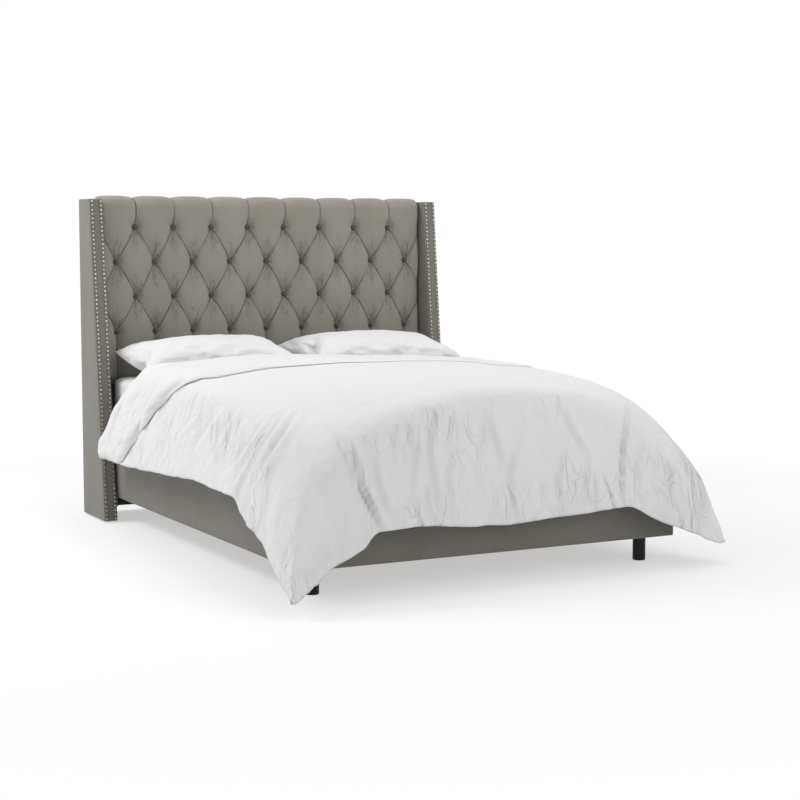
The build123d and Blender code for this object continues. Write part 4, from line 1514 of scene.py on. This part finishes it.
@dataclass(frozen=True)
class Sag:
    """Soft bedding that sinks towards the two foot corners of the mattress."""

    corner_x: float
    corner_y: float
    depth: float = 175 * MILLI
    reach: float = 200 * MILLI
    give: float = 45 * MILLI

    def share(self, x: float, y: float) -> float:
        """Share of the whole depth at a place."""
        beyond = (abs(x) - self.corner_x + self.corner_y - y) / math.sqrt(2)
        return math.exp(min(0.0, beyond) / self.reach)

    def at(self, x: float, y: float) -> float:
        """Depth at a place."""
        return self.depth * self.share(x, y)

    def under(self, x: float, y: float) -> float:
        """Depth of the mattress at a place, less than the duvet's by what its filling gives up."""
        return max(0.0, self.at(x, y) - self.give)

    @classmethod
    def of_bed(cls) -> "Sag":
        """Sag of this bed, whose corners lie just inside its rails and footboard."""
        side_inset, foot_inset = 46 * MILLI, 44 * MILLI
        return cls(Span.of("side_rail_cover_right").high.x - side_inset,
                   Span.of("footboard_cover").low.y + foot_inset)


class PhotoView:
    """Pixels of the photograph, 800 wide and high, at which points of the bed appear."""

    half = 400.0
    first_height = 0.2
    probe = 0.1
    rounds = 4

    def __init__(self) -> None:
        self.turned = Studio.camera_turn.to_matrix().inverted()
        self.focal = Studio.lens / Studio.sensor * 2 * self.half

    def pixel(self, point: Vector) -> Pixel:
        """Pixel of a point."""
        local = self.turned @ (point - Studio.camera_place)
        return self.half - self.focal * local.x / local.z, self.half + self.focal * local.y / local.z

    def height(self, x: float, y: float, outline: Sequence[Pixel]) -> float:
        """Height at which an upright line crosses an outline in the photograph.

        Args:
            x: place of the line across the bed.
            y: place of the line along it.
            outline: pixels from left to right.

        Returns:
            The height above the floor.
        """
        height = self.first_height
        for _ in range(self.rounds):
            across, down = self.pixel(Vector((x, y, height)))
            low = self.pixel(Vector((x, y, height - self.probe)))[1]
            height += self.probe * (down - outline_down(outline, across)) / (low - down)
        return height

    def faces(self, point: Vector, normal: Vector) -> bool:
        """Whether a surface looks towards the camera."""
        return normal.dot(Studio.camera_place - point) > 0


@dataclass(frozen=True)
class Crease:
    """Fold in a cloth that runs through three pixels of the photograph, with a ridge beside a valley."""

    start: Pixel
    middle: Pixel
    end: Pixel
    width: float = 4.0
    depth: float = 6 * MILLI

    @property
    def reach(self) -> float:
        """Pixels that the fold touches on each side of its line."""
        return 4 * self.width

    def box(self) -> Tuple[float, float, float, float]:
        """Pixels that the fold can touch: lowest and highest across, then down."""
        across, down = zip(self.start, self.middle, self.end)
        reach = self.reach
        return min(across) - reach, max(across) + reach, min(down) - reach, max(down) + reach

    def height(self, x: float, y: float) -> float:
        """Height of the cloth at a pixel, above its smooth surface."""
        reach = self.reach
        best = None
        for number, (first, second) in enumerate(((self.start, self.middle), (self.middle, self.end))):
            along_x, along_y = second[0] - first[0], second[1] - first[1]
            length = math.hypot(along_x, along_y)
            share = ((x - first[0]) * along_x + (y - first[1]) * along_y) / length ** 2
            held = min(1.0, max(0.0, share))
            gap = math.hypot(x - first[0] - held * along_x, y - first[1] - held * along_y)
            if gap < reach and (best is None or gap < best[0]):
                beside = ((x - first[0]) * along_y - (y - first[1]) * along_x) / length
                best = (gap, math.copysign(gap, beside), (number + held) / 2)
        if best is None:
            return 0.0
        across, run = best[1] / self.width, best[2]
        fade = math.sin(math.pi * run) ** 0.7 if 0 < run < 1 else 0.0
        ridge = math.exp(-(across - 1.1) ** 2 * 0.8)
        valley = math.exp(-(across + 0.1) ** 2 * 2.2)
        return 1.7 * self.depth * fade * (0.8 * ridge - valley)


# Creases of the duvet's body and of its turned-down edge, by their pixels in the photograph
BODY_CREASES = (
    Crease((300, 408), (274, 448), (243, 500), 3.6, 8 * MILLI),
    Crease((289, 407), (264, 444), (238, 494), 3.0, 7 * MILLI),
    Crease((278, 412), (254, 448), (230, 488), 3.0, 6 * MILLI),
    Crease((268, 414), (246, 446), (222, 478), 3.0, 5 * MILLI),
    Crease((246, 398), (222, 430), (204, 470), 3.4, 5 * MILLI),
    Crease((226, 402), (206, 428), (188, 462), 3.0, 4 * MILLI),
    Crease((196, 412), (180, 432), (168, 458), 3.0, 4 * MILLI),
    Crease((326, 420), (346, 456), (356, 498), 4.0, 7 * MILLI),
    Crease((352, 440), (360, 486), (383, 532), 2.8, 15 * MILLI),
    Crease((372, 452), (378, 486), (392, 520), 4.0, 6 * MILLI),
    Crease((402, 414), (414, 452), (410, 500), 4.4, 6 * MILLI),
    Crease((432, 410), (428, 452), (438, 512), 4.4, 7 * MILLI),
    Crease((454, 446), (446, 478), (452, 516), 3.6, 5 * MILLI),
    Crease((484, 408), (496, 446), (502, 470), 4.0, 5 * MILLI),
    Crease((520, 430), (508, 474), (514, 520), 4.4, 6 * MILLI),
    Crease((556, 402), (574, 436), (592, 466), 4.4, 6 * MILLI),
    Crease((566, 448), (556, 480), (562, 514), 3.6, 6 * MILLI),
    Crease((588, 456), (584, 486), (592, 512), 3.4, 5 * MILLI),
    Crease((629, 400), (622, 452), (621, 506), 2.0, 11 * MILLI),
    Crease((642, 432), (636, 466), (640, 508), 4.0, 6 * MILLI),
    Crease((664, 452), (668, 484), (676, 516), 4.0, 5 * MILLI),
    Crease((690, 474), (700, 500), (706, 530), 3.4, 5 * MILLI),
    Crease((340, 540), (322, 566), (304, 592), 4.4, 4 * MILLI),
    Crease((262, 520), (272, 556), (288, 590), 4.4, 4 * MILLI),
)

FOLD_CREASES = (
    Crease((132, 392), (120, 420), (112, 452), 2.6, 4 * MILLI),
    Crease((146, 388), (132, 420), (122, 460), 2.6, 4 * MILLI),
    Crease((166, 380), (148, 412), (132, 452), 3.0, 4 * MILLI),
    Crease((216, 366), (188, 380), (168, 396), 2.6, 3 * MILLI),
)

# Lower edge of the duvet in the photograph, from left to right
HEM_OUTLINE = (
    (95, 447), (100, 458), (120, 463), (150, 471), (200, 484), (237, 503), (241, 520), (263, 550),
    (283, 586), (295, 603), (304, 597), (320, 581), (345, 561), (370, 548), (380, 533), (422, 527),
    (465, 527), (510, 524), (565, 516), (627, 507), (650, 517), (675, 527), (700, 537), (715, 542),
)


def outline_down(outline: Sequence[Pixel], across: float) -> float:
    """Pixel down the photograph at which an outline passes a pixel across it."""
    for (start, first), (end, second) in zip(outline, outline[1:]):
        if across <= end:
            return blend(first, second, min(1.0, max(0.0, (across - start) / (end - start))))
    return outline[-1][1]


@dataclass(frozen=True)
class Swell:
    """Rise of a value near a place on the duvet's edge: pointed at a power of 1, round at 2."""

    place: float
    spread: float
    rise: float
    power: int = 2

    def at(self, edge: float) -> float:
        """Rise at a place along the edge."""
        return self.rise * math.exp(-abs((edge - self.place) / self.spread) ** self.power)


class Duvet(Assembly):
    """Duvet draped over the mattress and turned down at its head edge."""

    body = Body.DUVET
    slot = Slot.DUVET
    half_width = 1.19
    foot_length = 0.50
    cell = 20 * MILLI
    shoulder = 80 * MILLI
    corner_round = 250 * MILLI
    corner_domes = {-1: 1.0, 1: 0.30}
    head_roll = 50 * MILLI
    head_gap = 10 * MILLI
    head_tuck = 75 * MILLI
    head_fade = 0.12
    side_run = 0.47
    corner_run = 0.3
    still_side = 0.05
    still_foot = 0.12
    full_hang = 0.35
    skirt_inset = 9 * MILLI
    longest_hang = 1.5
    halvings = 16
    wall = 28 * MILLI
    hem = 6 * MILLI
    hem_taper = 0.07
    border_rings = 14
    filling = 90 * MILLI
    lean = 0.28
    edge_z = 0.690
    middle_z = 0.722
    side_flare = math.radians(10)
    foot_flare = math.radians(10.5)
    corner_flares = {-1: math.radians(27), 1: math.radians(18)}
    corner_turns = {-1: math.radians(10), 1: math.radians(-3)}
    ripple = 15 * MILLI
    gathers = 8 * MILLI
    gather_start = 0.24
    gather_run = 0.16
    hem_reach = 142 * MILLI
    hem_tips = (Swell(-0.962, 0.088, 198 * MILLI, 1), Swell(1.02, 0.15, 110 * MILLI, 1))
    hem_rise = 20 * MILLI
    hem_slides = (Swell(-3.1, 0.8, -22 * MILLI), Swell(-1.24, 0.26, 28 * MILLI),
                  Swell(-0.962, 0.022, -12 * MILLI, 1), Swell(-0.66, 0.08, -8 * MILLI),
                  Swell(0.64, 0.12, -18 * MILLI), Swell(1.07, 0.06, 30 * MILLI))
    hidden_hem_z = 0.30
    hidden_start = 0.4
    puff = 6 * MILLI
    fold_thickness = 28 * MILLI
    fold_rows = 28
    fold_inset = 3 * MILLI
    flap_points = ((0.0, 0.15), (0.40, 0.12), (0.58, 0.05), (0.70, 0.0), (0.78, 0.015), (0.85, 0.11),
                   (0.93, 0.235), (1.05, 0.40), (1.19, 0.54))
    settling = ClothRun(frames=36, mass=0.3, tension=20, shear=4, bending=0.4, growth=0.045)

    def __init__(self, palette: Palette) -> None:
        super().__init__(palette)
        self.mattress = Span.of("mattress")
        self.sheet = Span.of("fitted_sheet")
        self.pillow = Span.of("pillow_left")
        self.sag = Sag.of_bed()
        self.shoulder_x = self.sag.corner_x
        self.foot_y = self.sag.corner_y
        self.head_y = self.pillow.low.y - self.fold_thickness - self.head_roll - self.head_gap
        self.head_end = self.head_y + self.head_tuck
        self.foot_end = self.foot_y - self.foot_length
        self.columns = round(2 * self.half_width / self.cell)
        self.rows = round((self.head_end - self.foot_end) / self.cell)
        self.view = PhotoView()

    def build(self) -> None:
        """Makes the duvet's body and its turned-down edge."""
        body = sheet_grid(self.columns, self.rows, self._start)
        store_places(body, "flat", self.columns, self.rows, self.flat)
        store_places(body, "fall", self.columns, self.rows, self._fall)
        sheet = new_object("duvet_body", body, self.palette.creased)
        support = sheet_grid(self.columns // 2, self.rows // 2, self._support)
        skirt = new_object("skirt", support, self.material)
        self.settling.simulate(sheet, [skirt], self._still())
        bpy.data.objects.remove(skirt)
        fold = self._fold(sheet)
        refine(sheet, 1)
        self._crease(sheet, BODY_CREASES, under_fold=True)
        self._fill(sheet)
        self.adopt(sheet, "duvet")
        self.adopt(fold)

    def _still(self) -> List[int]:
        """Vertices of the grid that lie on top of the mattress or along the head edge, and don't move."""
        still = []
        for index in range((self.columns + 1) * (self.rows + 1)):
            row, column = divmod(index, self.columns + 1)
            across, along = self.flat(column / self.columns, row / self.rows)
            on_top = abs(across) < self.shoulder_x - self.still_side and along > self.foot_y + self.still_foot
            if row == self.rows or on_top:
                still.append(index)
        return still

    def head_edge(self, across: float) -> float:
        """Flat place of the head edge, which runs towards the headboard down each side."""
        return self.head_end + self.lean * smooth((abs(across) - self.shoulder_x) /
                                                  (self.half_width - self.shoulder_x))

    def flat(self, share_x: float, share_y: float) -> Tuple[float, float]:
        """Flat place of a point of the duvet from its shares."""
        across = blend(-self.half_width, self.half_width, share_x)
        return across, blend(self.foot_end, self.head_edge(across), share_y)

    def _fall(self, share_x: float, share_y: float) -> Tuple[float, float]:
        """How far round the bed and how far down its side a point hangs."""
        across, along = self.flat(share_x, share_y)
        over_side = max(0.0, abs(across) - self.shoulder_x)
        over_foot = max(0.0, self.foot_y - along)
        if not over_side and not over_foot:
            return across, -along
        return self._round(across, math.atan2(over_foot, over_side), along), math.hypot(over_side, over_foot)

    def _curve(self, length: float, start: float, flare: float, radius: float) -> Tuple[float, float]:
        """How far out and down cloth of a length reaches when it bends over an edge from a starting slope."""
        limit = math.pi / 2 - flare
        turn = min(length / radius, limit - start)
        out = radius * (math.sin(start + turn) - math.sin(start))
        drop = radius * (math.cos(start) - math.cos(start + turn))
        rest = max(0.0, length - radius * (limit - start))
        return out + rest * math.sin(flare), drop + rest * math.cos(flare)

    def _hem_length(self, drop: float, start: float, flare: float, radius: float) -> float:
        """Length of cloth that hangs down by a drop, found by halving."""
        low, high = 0.0, self.longest_hang
        for _ in range(self.halvings):
            middle = (low + high) / 2
            if self._curve(middle, start, flare, radius)[1] < drop:
                low = middle
            else:
                high = middle
        return high

    def _hem_place(self, side: int, x: float, y: float, turn: float, edge: float) -> Tuple[float, float]:
        """Place of the hem under a point of the mattress edge.

        Args:
            side: side of the bed.
            x: distance of the edge from the middle of the bed.
            y: place of the edge along it.
            turn: direction in which the cloth hangs out.
            edge: place along the duvet's edge.

        Returns:
            How far out the hem hangs, and its height before the cloth settles.
        """
        reach = self.hem_reach + sum(tip.at(edge) for tip in self.hem_tips)
        hem_x, hem_y = side * (x + reach * math.cos(turn)), y - reach * math.sin(turn)
        height = self.view.height(hem_x, hem_y, HEM_OUTLINE)
        height += self.hem_rise + sum(slide.at(edge) for slide in self.hem_slides)
        hidden = smooth((edge - self.hem_tips[-1].place) / self.hidden_start)
        return reach, blend(height, self.hidden_hem_z, hidden)

    def _round(self, across: float, turn: float, along: float) -> float:
        """Place along the duvet's edge, from its left head end to its right one."""
        side = math.copysign(1.0, across)
        if along > self.foot_y:
            return side * (self.shoulder_x + self.side_run + along - self.foot_y)
        if abs(across) > self.shoulder_x:
            return side * (self.shoulder_x + self.corner_run * (math.pi / 2 - turn))
        return across

    def drape(self, across: float, along: float, inset: float = 0.0) -> Vector:
        """Place of a flat point on the bed before the cloth settles.

        Args:
            across: flat place across the bed.
            along: flat place along it.
            inset: distance behind the surface.

        Returns:
            The point.
        """
        side = 1 if across > 0 else -1
        over_side = max(0.0, abs(across) - self.shoulder_x)
        over_foot = max(0.0, self.foot_y - along)
        over_head = max(0.0, along - self.head_y)
        turn = math.atan2(over_foot, over_side) if over_side + over_foot else 0.0
        x, y = min(abs(across), self.shoulder_x), max(along, self.foot_y)
        sag = self.sag.share(x, y)
        bulge = math.sin(2 * turn) ** 2
        flare = blend(self.side_flare, self.foot_flare, turn / (math.pi / 2))
        flare = blend(flare, self.corner_flares[side], max(bulge, 0.5 * sag * sag))
        slope = self.sag.depth / self.sag.reach * sag * (math.cos(turn) + math.sin(turn)) / math.sqrt(2)
        radius = self.shoulder + sag * sag * (self.corner_round + self.corner_domes[side] * bulge) - inset
        length = math.hypot(over_side, over_foot)
        hanging = smooth(length / self.full_hang)
        edge = self._round(across, turn, along)
        crown = 1 - (x / self.shoulder_x) ** 2
        z = blend(self.edge_z, self.middle_z, crown) - self.sag.at(x, y)
        start = math.atan(slope)
        share, widen = 0.0, 1.0
        if length:
            share = length / min((self.half_width - self.shoulder_x) / max(math.cos(turn), MILLI),
                                 self.foot_length / max(math.sin(turn), MILLI))
            reach, height = self._hem_place(side, x, y, turn + self.corner_turns[side] * bulge, edge)
            whole = self._hem_length(z - height, start, flare, radius)
            widen = reach / self._curve(whole, start, flare, radius)[0]
            length = share * whole
        out, drop = self._curve(length, start, flare, radius)
        out *= blend(1.0, widen, min(1.0, share) ** 1.5)
        out += self.ripple * hanging * noise.noise(Vector((edge * 6.5, 0.4, length * 1.2)))
        low_down = smooth((length - self.gather_start) / self.gather_run)
        out += self.gathers * low_down * noise.noise(Vector((edge * 19, 3.4, length * 3)))
        turn += self.corner_turns[side] * bulge
        z -= drop + inset
        z += self.puff * (1 - hanging) * noise.noise(Vector((side * x * 4, y * 4, 2.2)))
        x += out * math.cos(turn)
        y -= out * math.sin(turn)
        if over_head:
            hold = 1 - smooth(over_side / self.head_fade)
            head_out, head_drop = self._curve(over_head, 0.0, 0.0, self.head_roll - inset)
            y = self.head_y + blend(over_head, head_out, hold)
            z -= head_drop * hold
        return Vector((side * x, y, z))

    def _start(self, share_x: float, share_y: float) -> Vector:
        """Place of a point of the duvet before it settles."""
        return self.drape(*self.flat(share_x, share_y))

    def _support(self, share_x: float, share_y: float) -> Vector:
        """Place of a point of the skirt that the duvet settles on."""
        return self.drape(*self.flat(share_x, share_y), inset=self.skirt_inset)

    def _crease(self, piece: bpy.types.Object, creases: Sequence[Crease], under_fold: bool) -> None:
        """Presses creases into the side of a cloth that the camera sees, and marks its crumples.

        Args:
            piece: the cloth.
            creases: folds as the photograph shows them.
            under_fold: whether the cloth lies under the turned-down edge, where it has none.
        """
        mesh = piece.data
        flat = [(0.0, 0.0)] * len(mesh.vertices)
        if under_fold:
            layer = mesh.uv_layers["flat"].data
            for loop, place in zip(mesh.loops, layer):
                flat[loop.vertex_index] = tuple(place.uv)
        boxes = [(crease, *crease.box()) for crease in creases]
        normals = [vertex.normal.copy() for vertex in mesh.vertices]
        crumple = mesh.attributes.new("crumple", "FLOAT", "POINT")
        for vertex, normal, mark in zip(mesh.vertices, normals, crumple.data):
            upright = 1 - smooth((normal.z - 0.35) / 0.5)
            patch = 0.15 + 0.85 * smooth(0.35 + 2.4 * noise.noise(vertex.co * 4.5))
            mark.value = upright * patch * (1.0 if under_fold else 0.35)
            if not self.view.faces(vertex.co, normal):
                continue
            x, y = self.view.pixel(vertex.co)
            height = sum(crease.height(x, y) for crease, left, right, top, bottom in boxes
                         if left < x < right and top < y < bottom)
            if under_fold:
                across, along = flat[vertex.index]
                height *= 1 - smooth((along - self._flap_edge(across)) / 0.03 + 1)
            vertex.co += normal * height

    def _fill(self, sheet: bpy.types.Object) -> None:
        """Thickens the duvet behind its outer surface: full on the mattress, thin at the hem."""
        shares = []
        top = self.sheet.high.z
        for vertex, distance in zip(sheet.data.vertices, self._border_distance(sheet)):
            floor = top - self.sag.under(vertex.co.x, vertex.co.y)
            hanging = smooth((floor + 0.055 - vertex.co.z) / 0.05)
            full = blend(max(0.0, vertex.co.z - floor - 1.5 * MILLI), self.wall, hanging)
            depth = blend(self.hem, full, math.sqrt(smooth(distance / self.hem_taper)))
            shares.append(min(1.0, depth / self.filling))
        thicken(sheet, shares, self.filling, -1.0)
        for vertex in sheet.data.vertices:
            floor = top + 1.2 * MILLI - self.sag.under(vertex.co.x, vertex.co.y)
            inside = abs(vertex.co.x) < self.mattress.high.x + 4 * MILLI and vertex.co.y > self.mattress.low.y
            if inside and vertex.co.z < floor:
                vertex.co.z = floor

    def _border_distance(self, sheet: bpy.types.Object) -> List[float]:
        """Rough distance along the cloth from each vertex to the nearest edge of the sheet."""
        body = bmesh.new()
        body.from_mesh(sheet.data)
        body.verts.ensure_lookup_table()
        distances = [1.0] * len(body.verts)
        layer = [vertex for vertex in body.verts if vertex.is_boundary]
        for vertex in layer:
            distances[vertex.index] = 0.0
        for ring in range(1, self.border_rings):
            following = []
            for vertex in layer:
                for edge in vertex.link_edges:
                    other = edge.other_vert(vertex)
                    if distances[other.index] == 1.0:
                        distances[other.index] = ring * self.cell / 2
                        following.append(other)
            layer = following
        body.free()
        return distances

    def _flap_edge(self, across: float) -> float:
        """Flat place of the turned-down edge: nearly straight across, and sloping up each side."""
        reach = min(abs(across), self.half_width)
        for (start, low), (end, high) in zip(self.flap_points, self.flap_points[1:]):
            if reach <= end:
                return blend(low, high, (reach - start) / (end - start))
        return self.flap_points[-1][1]

    def _fullness(self, x: float) -> float:
        """Share of the fold's filling, which thins out across the bed."""
        return blend(1.0, 0.14, smooth((x + 0.35) / 0.6))

    def _fold(self, sheet: bpy.types.Object) -> bpy.types.Object:
        """Turned-down part of the duvet, which follows the surface that it lies on."""
        points = [vertex.co.copy() for vertex in sheet.data.vertices]
        normals = [vertex.normal.copy() for vertex in sheet.data.vertices]
        columns, rows = self.columns, self.rows

        def sample(share_x: float, share_y: float) -> Tuple[Vector, Vector]:
            place_x, place_y = share_x * columns, share_y * rows
            left, low = min(int(place_x), columns - 1), min(int(place_y), rows - 1)
            right_share, up_share = place_x - left, place_y - low
            corner = low * (columns + 1) + left
            found = []
            for values in (points, normals):
                bottom = values[corner].lerp(values[corner + 1], right_share)
                top = values[corner + columns + 1].lerp(values[corner + columns + 2], right_share)
                found.append(bottom.lerp(top, up_share))
            return found[0], found[1].normalized()

        def place(share_x: float, share_y: float) -> Vector:
            across = blend(self.fold_inset - self.half_width, self.half_width - self.fold_inset, share_x)
            along = blend(self._flap_edge(across), self.head_edge(across), share_y)
            whole = (along - self.foot_end) / (self.head_edge(across) - self.foot_end)
            point, normal = sample((across + self.half_width) / (2 * self.half_width), whole)
            rise = 0.8 + (1.2 + 3 * smooth(share_y / 0.2)) * self._fullness(point.x)
            return point + normal * rise * MILLI

        def fall(share_x: float, share_y: float) -> Tuple[float, float]:
            return blend(-self.half_width, self.half_width, share_x), share_y * 0.5

        body = sheet_grid(columns, self.fold_rows, place)
        store_places(body, "fall", columns, self.fold_rows, fall)
        piece = new_object("duvet_fold", body, self.palette.creased)
        refine(piece, 1)
        self._crease(piece, FOLD_CREASES, under_fold=False)
        shares = []
        for vertex, away in zip(piece.data.vertices, self._border_distance(piece)):
            uneven = 1 + 0.25 * noise.noise(vertex.co * 6)
            full = blend(0.12, 0.85, math.sqrt(smooth(away / 0.09))) * uneven
            shares.append(min(1.0, full * self._fullness(vertex.co.x)))
        thicken(piece, shares, self.fold_thickness, 1.0)
        return piece


# Light and camera


@dataclass(frozen=True)
class Lamp:
    """Square area lamp that looks at a point, with a spread in degrees."""

    name: str
    place: Vector
    target: Vector
    size: float
    power: float
    spread: float = 180.0

    def build(self) -> None:
        """Makes the lamp."""
        light = bpy.data.lights.new(self.name, "AREA")
        light.spread = math.radians(self.spread)
        light.shape = "SQUARE"
        light.size = self.size
        light.energy = self.power
        holder = bpy.data.objects.new(self.name, light)
        holder.location = self.place
        holder.rotation_euler = (self.target - self.place).to_track_quat("-Z", "Y").to_euler()
        bpy.context.scene.collection.objects.link(holder)


class Studio:
    """White floor, lamps and the camera that took the photograph."""

    camera_place = Vector((-3.224, -6.353, 1.253))
    camera_turn = Euler((math.radians(84.57), 0.0, math.radians(-27.78)))
    lens = 78.35
    sensor = 36.0
    ambient = 0.69
    backdrop = 1.0
    glow = 0.5
    glow_start = 1.6
    glow_end = 3.4
    floor_colour: Colour = (0.95, 0.95, 0.95, 1.0)
    floor_half = 18.0
    floor_cells = 24
    floor_drop = 1 * MILLI
    lamps = (
        Lamp("key_lamp", Vector((-3.4, 1.7, 3.6)), Vector((-0.2, -0.3, 0.5)), 1.8, 104.0),
        Lamp("front_lamp", Vector((2.4, -5.3, 2.6)), Vector((0.0, 1.0, 1.0)), 2.4, 45.0),
        Lamp("top_lamp", Vector((1.0, 0.0, 4.6)), Vector((0.2, 0.0, 0.6)), 2.4, 30.0),
        Lamp("head_lamp", Vector((0.9, -2.2, 3.0)), Vector((0.1, 1.1, 1.0)), 1.4, 5.0, spread=75.0),
    )

    def build(self) -> None:
        """Makes the floor, lamps, world and camera."""
        self._floor()
        self._world()
        for lamp in self.lamps:
            lamp.build()
        self._camera()
        bpy.context.scene.view_settings.view_transform = "Standard"

    def _floor(self) -> None:
        """Large pale floor that takes the bed's shadow."""
        body = bmesh.new()
        bmesh.ops.create_grid(body, x_segments=self.floor_cells, y_segments=self.floor_cells,
                              size=self.floor_half)
        tree = ShaderTree("floor_finish")
        grain = tree.noise(3.0, 2.0)
        colour = tree.mixed(tree.limits(grain, 0.3, 0.7), shade(self.floor_colour, 0.99), self.floor_colour)
        finish = tree.finish(Base_Color=colour, Roughness=0.9, Specular_IOR_Level=0.1)
        self._glow_far(tree)
        floor = new_object("floor", body, finish)
        for vertex in floor.data.vertices:
            vertex.co.z = -self.floor_drop

    def _glow_far(self, tree: ShaderTree) -> None:
        """Shows the floor half white near the bed, where its shadow stays, and wholly white far from it."""
        length = tree.add("ShaderNodeVectorMath", {"operation": "LENGTH"}, {0: tree.place})
        away = Signal(tree, length.outputs["Value"])
        share = tree.limits(away, self.glow_start, self.glow_end, self.glow, 1.0) * self._seen(tree)
        white = tree.add("ShaderNodeEmission", None, {"Color": WHITE, "Strength": self.backdrop})
        output = next(node for node in tree.nodes if node.bl_idname == "ShaderNodeOutputMaterial")
        mix = tree.add("ShaderNodeMixShader", None, {0: share})
        tree.links.new(tree.surface.outputs[0], mix.inputs[1])
        tree.links.new(white.outputs[0], mix.inputs[2])
        tree.links.new(mix.outputs[0], output.inputs["Surface"])

    def _seen(self, tree: ShaderTree) -> Signal:
        """One for rays from the camera, also by way of metal or glass, and none for those that only light."""
        rays = tree.add("ShaderNodeLightPath").outputs
        camera, glossy, through = [Signal(tree, rays["Is %s Ray" % kind])
                                   for kind in ("Camera", "Glossy", "Transmission")]
        return tree.maths("MAXIMUM", tree.maths("MAXIMUM", camera, glossy), through)

    def _world(self) -> None:
        """Ambient light, with a plain white background for the camera."""
        world = bpy.data.worlds.new("studio")
        bpy.context.scene.world = world
        world.use_nodes = True
        tree = ShaderTree.around(world)
        ambient = tree.add("ShaderNodeBackground", None, {"Color": WHITE, "Strength": self.ambient})
        backdrop = tree.add("ShaderNodeBackground", None, {"Color": WHITE, "Strength": self.backdrop})
        mix = tree.add("ShaderNodeMixShader", None, {0: self._seen(tree)})
        output = tree.add("ShaderNodeOutputWorld")
        tree.links.new(ambient.outputs[0], mix.inputs[1])
        tree.links.new(backdrop.outputs[0], mix.inputs[2])
        tree.links.new(mix.outputs[0], output.inputs["Surface"])

    def _camera(self) -> None:
        """Camera of the photograph."""
        data = bpy.data.cameras.new("photo_camera")
        data.lens = self.lens
        data.sensor_width = self.sensor
        data.clip_end = 200.0
        camera = bpy.data.objects.new("photo_camera", data)
        camera.location = self.camera_place
        camera.rotation_euler = self.camera_turn
        bpy.context.scene.collection.objects.link(camera)
        bpy.context.scene.camera = camera


def main() -> None:
    """Loads the frame and builds everything that stands round it."""
    logging.basicConfig(level=logging.INFO, format="%(name)s %(message)s")
    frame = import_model()
    palette = Palette()
    palette.dress_frame(frame["nodes"])
    for assembly in (TuftedCover, FlatCovers, Wings, RailCovers, MattressSet, Pillows, Duvet):
        assembly(palette).build()
    Studio().build()


if __name__ == "__main__":
    main()
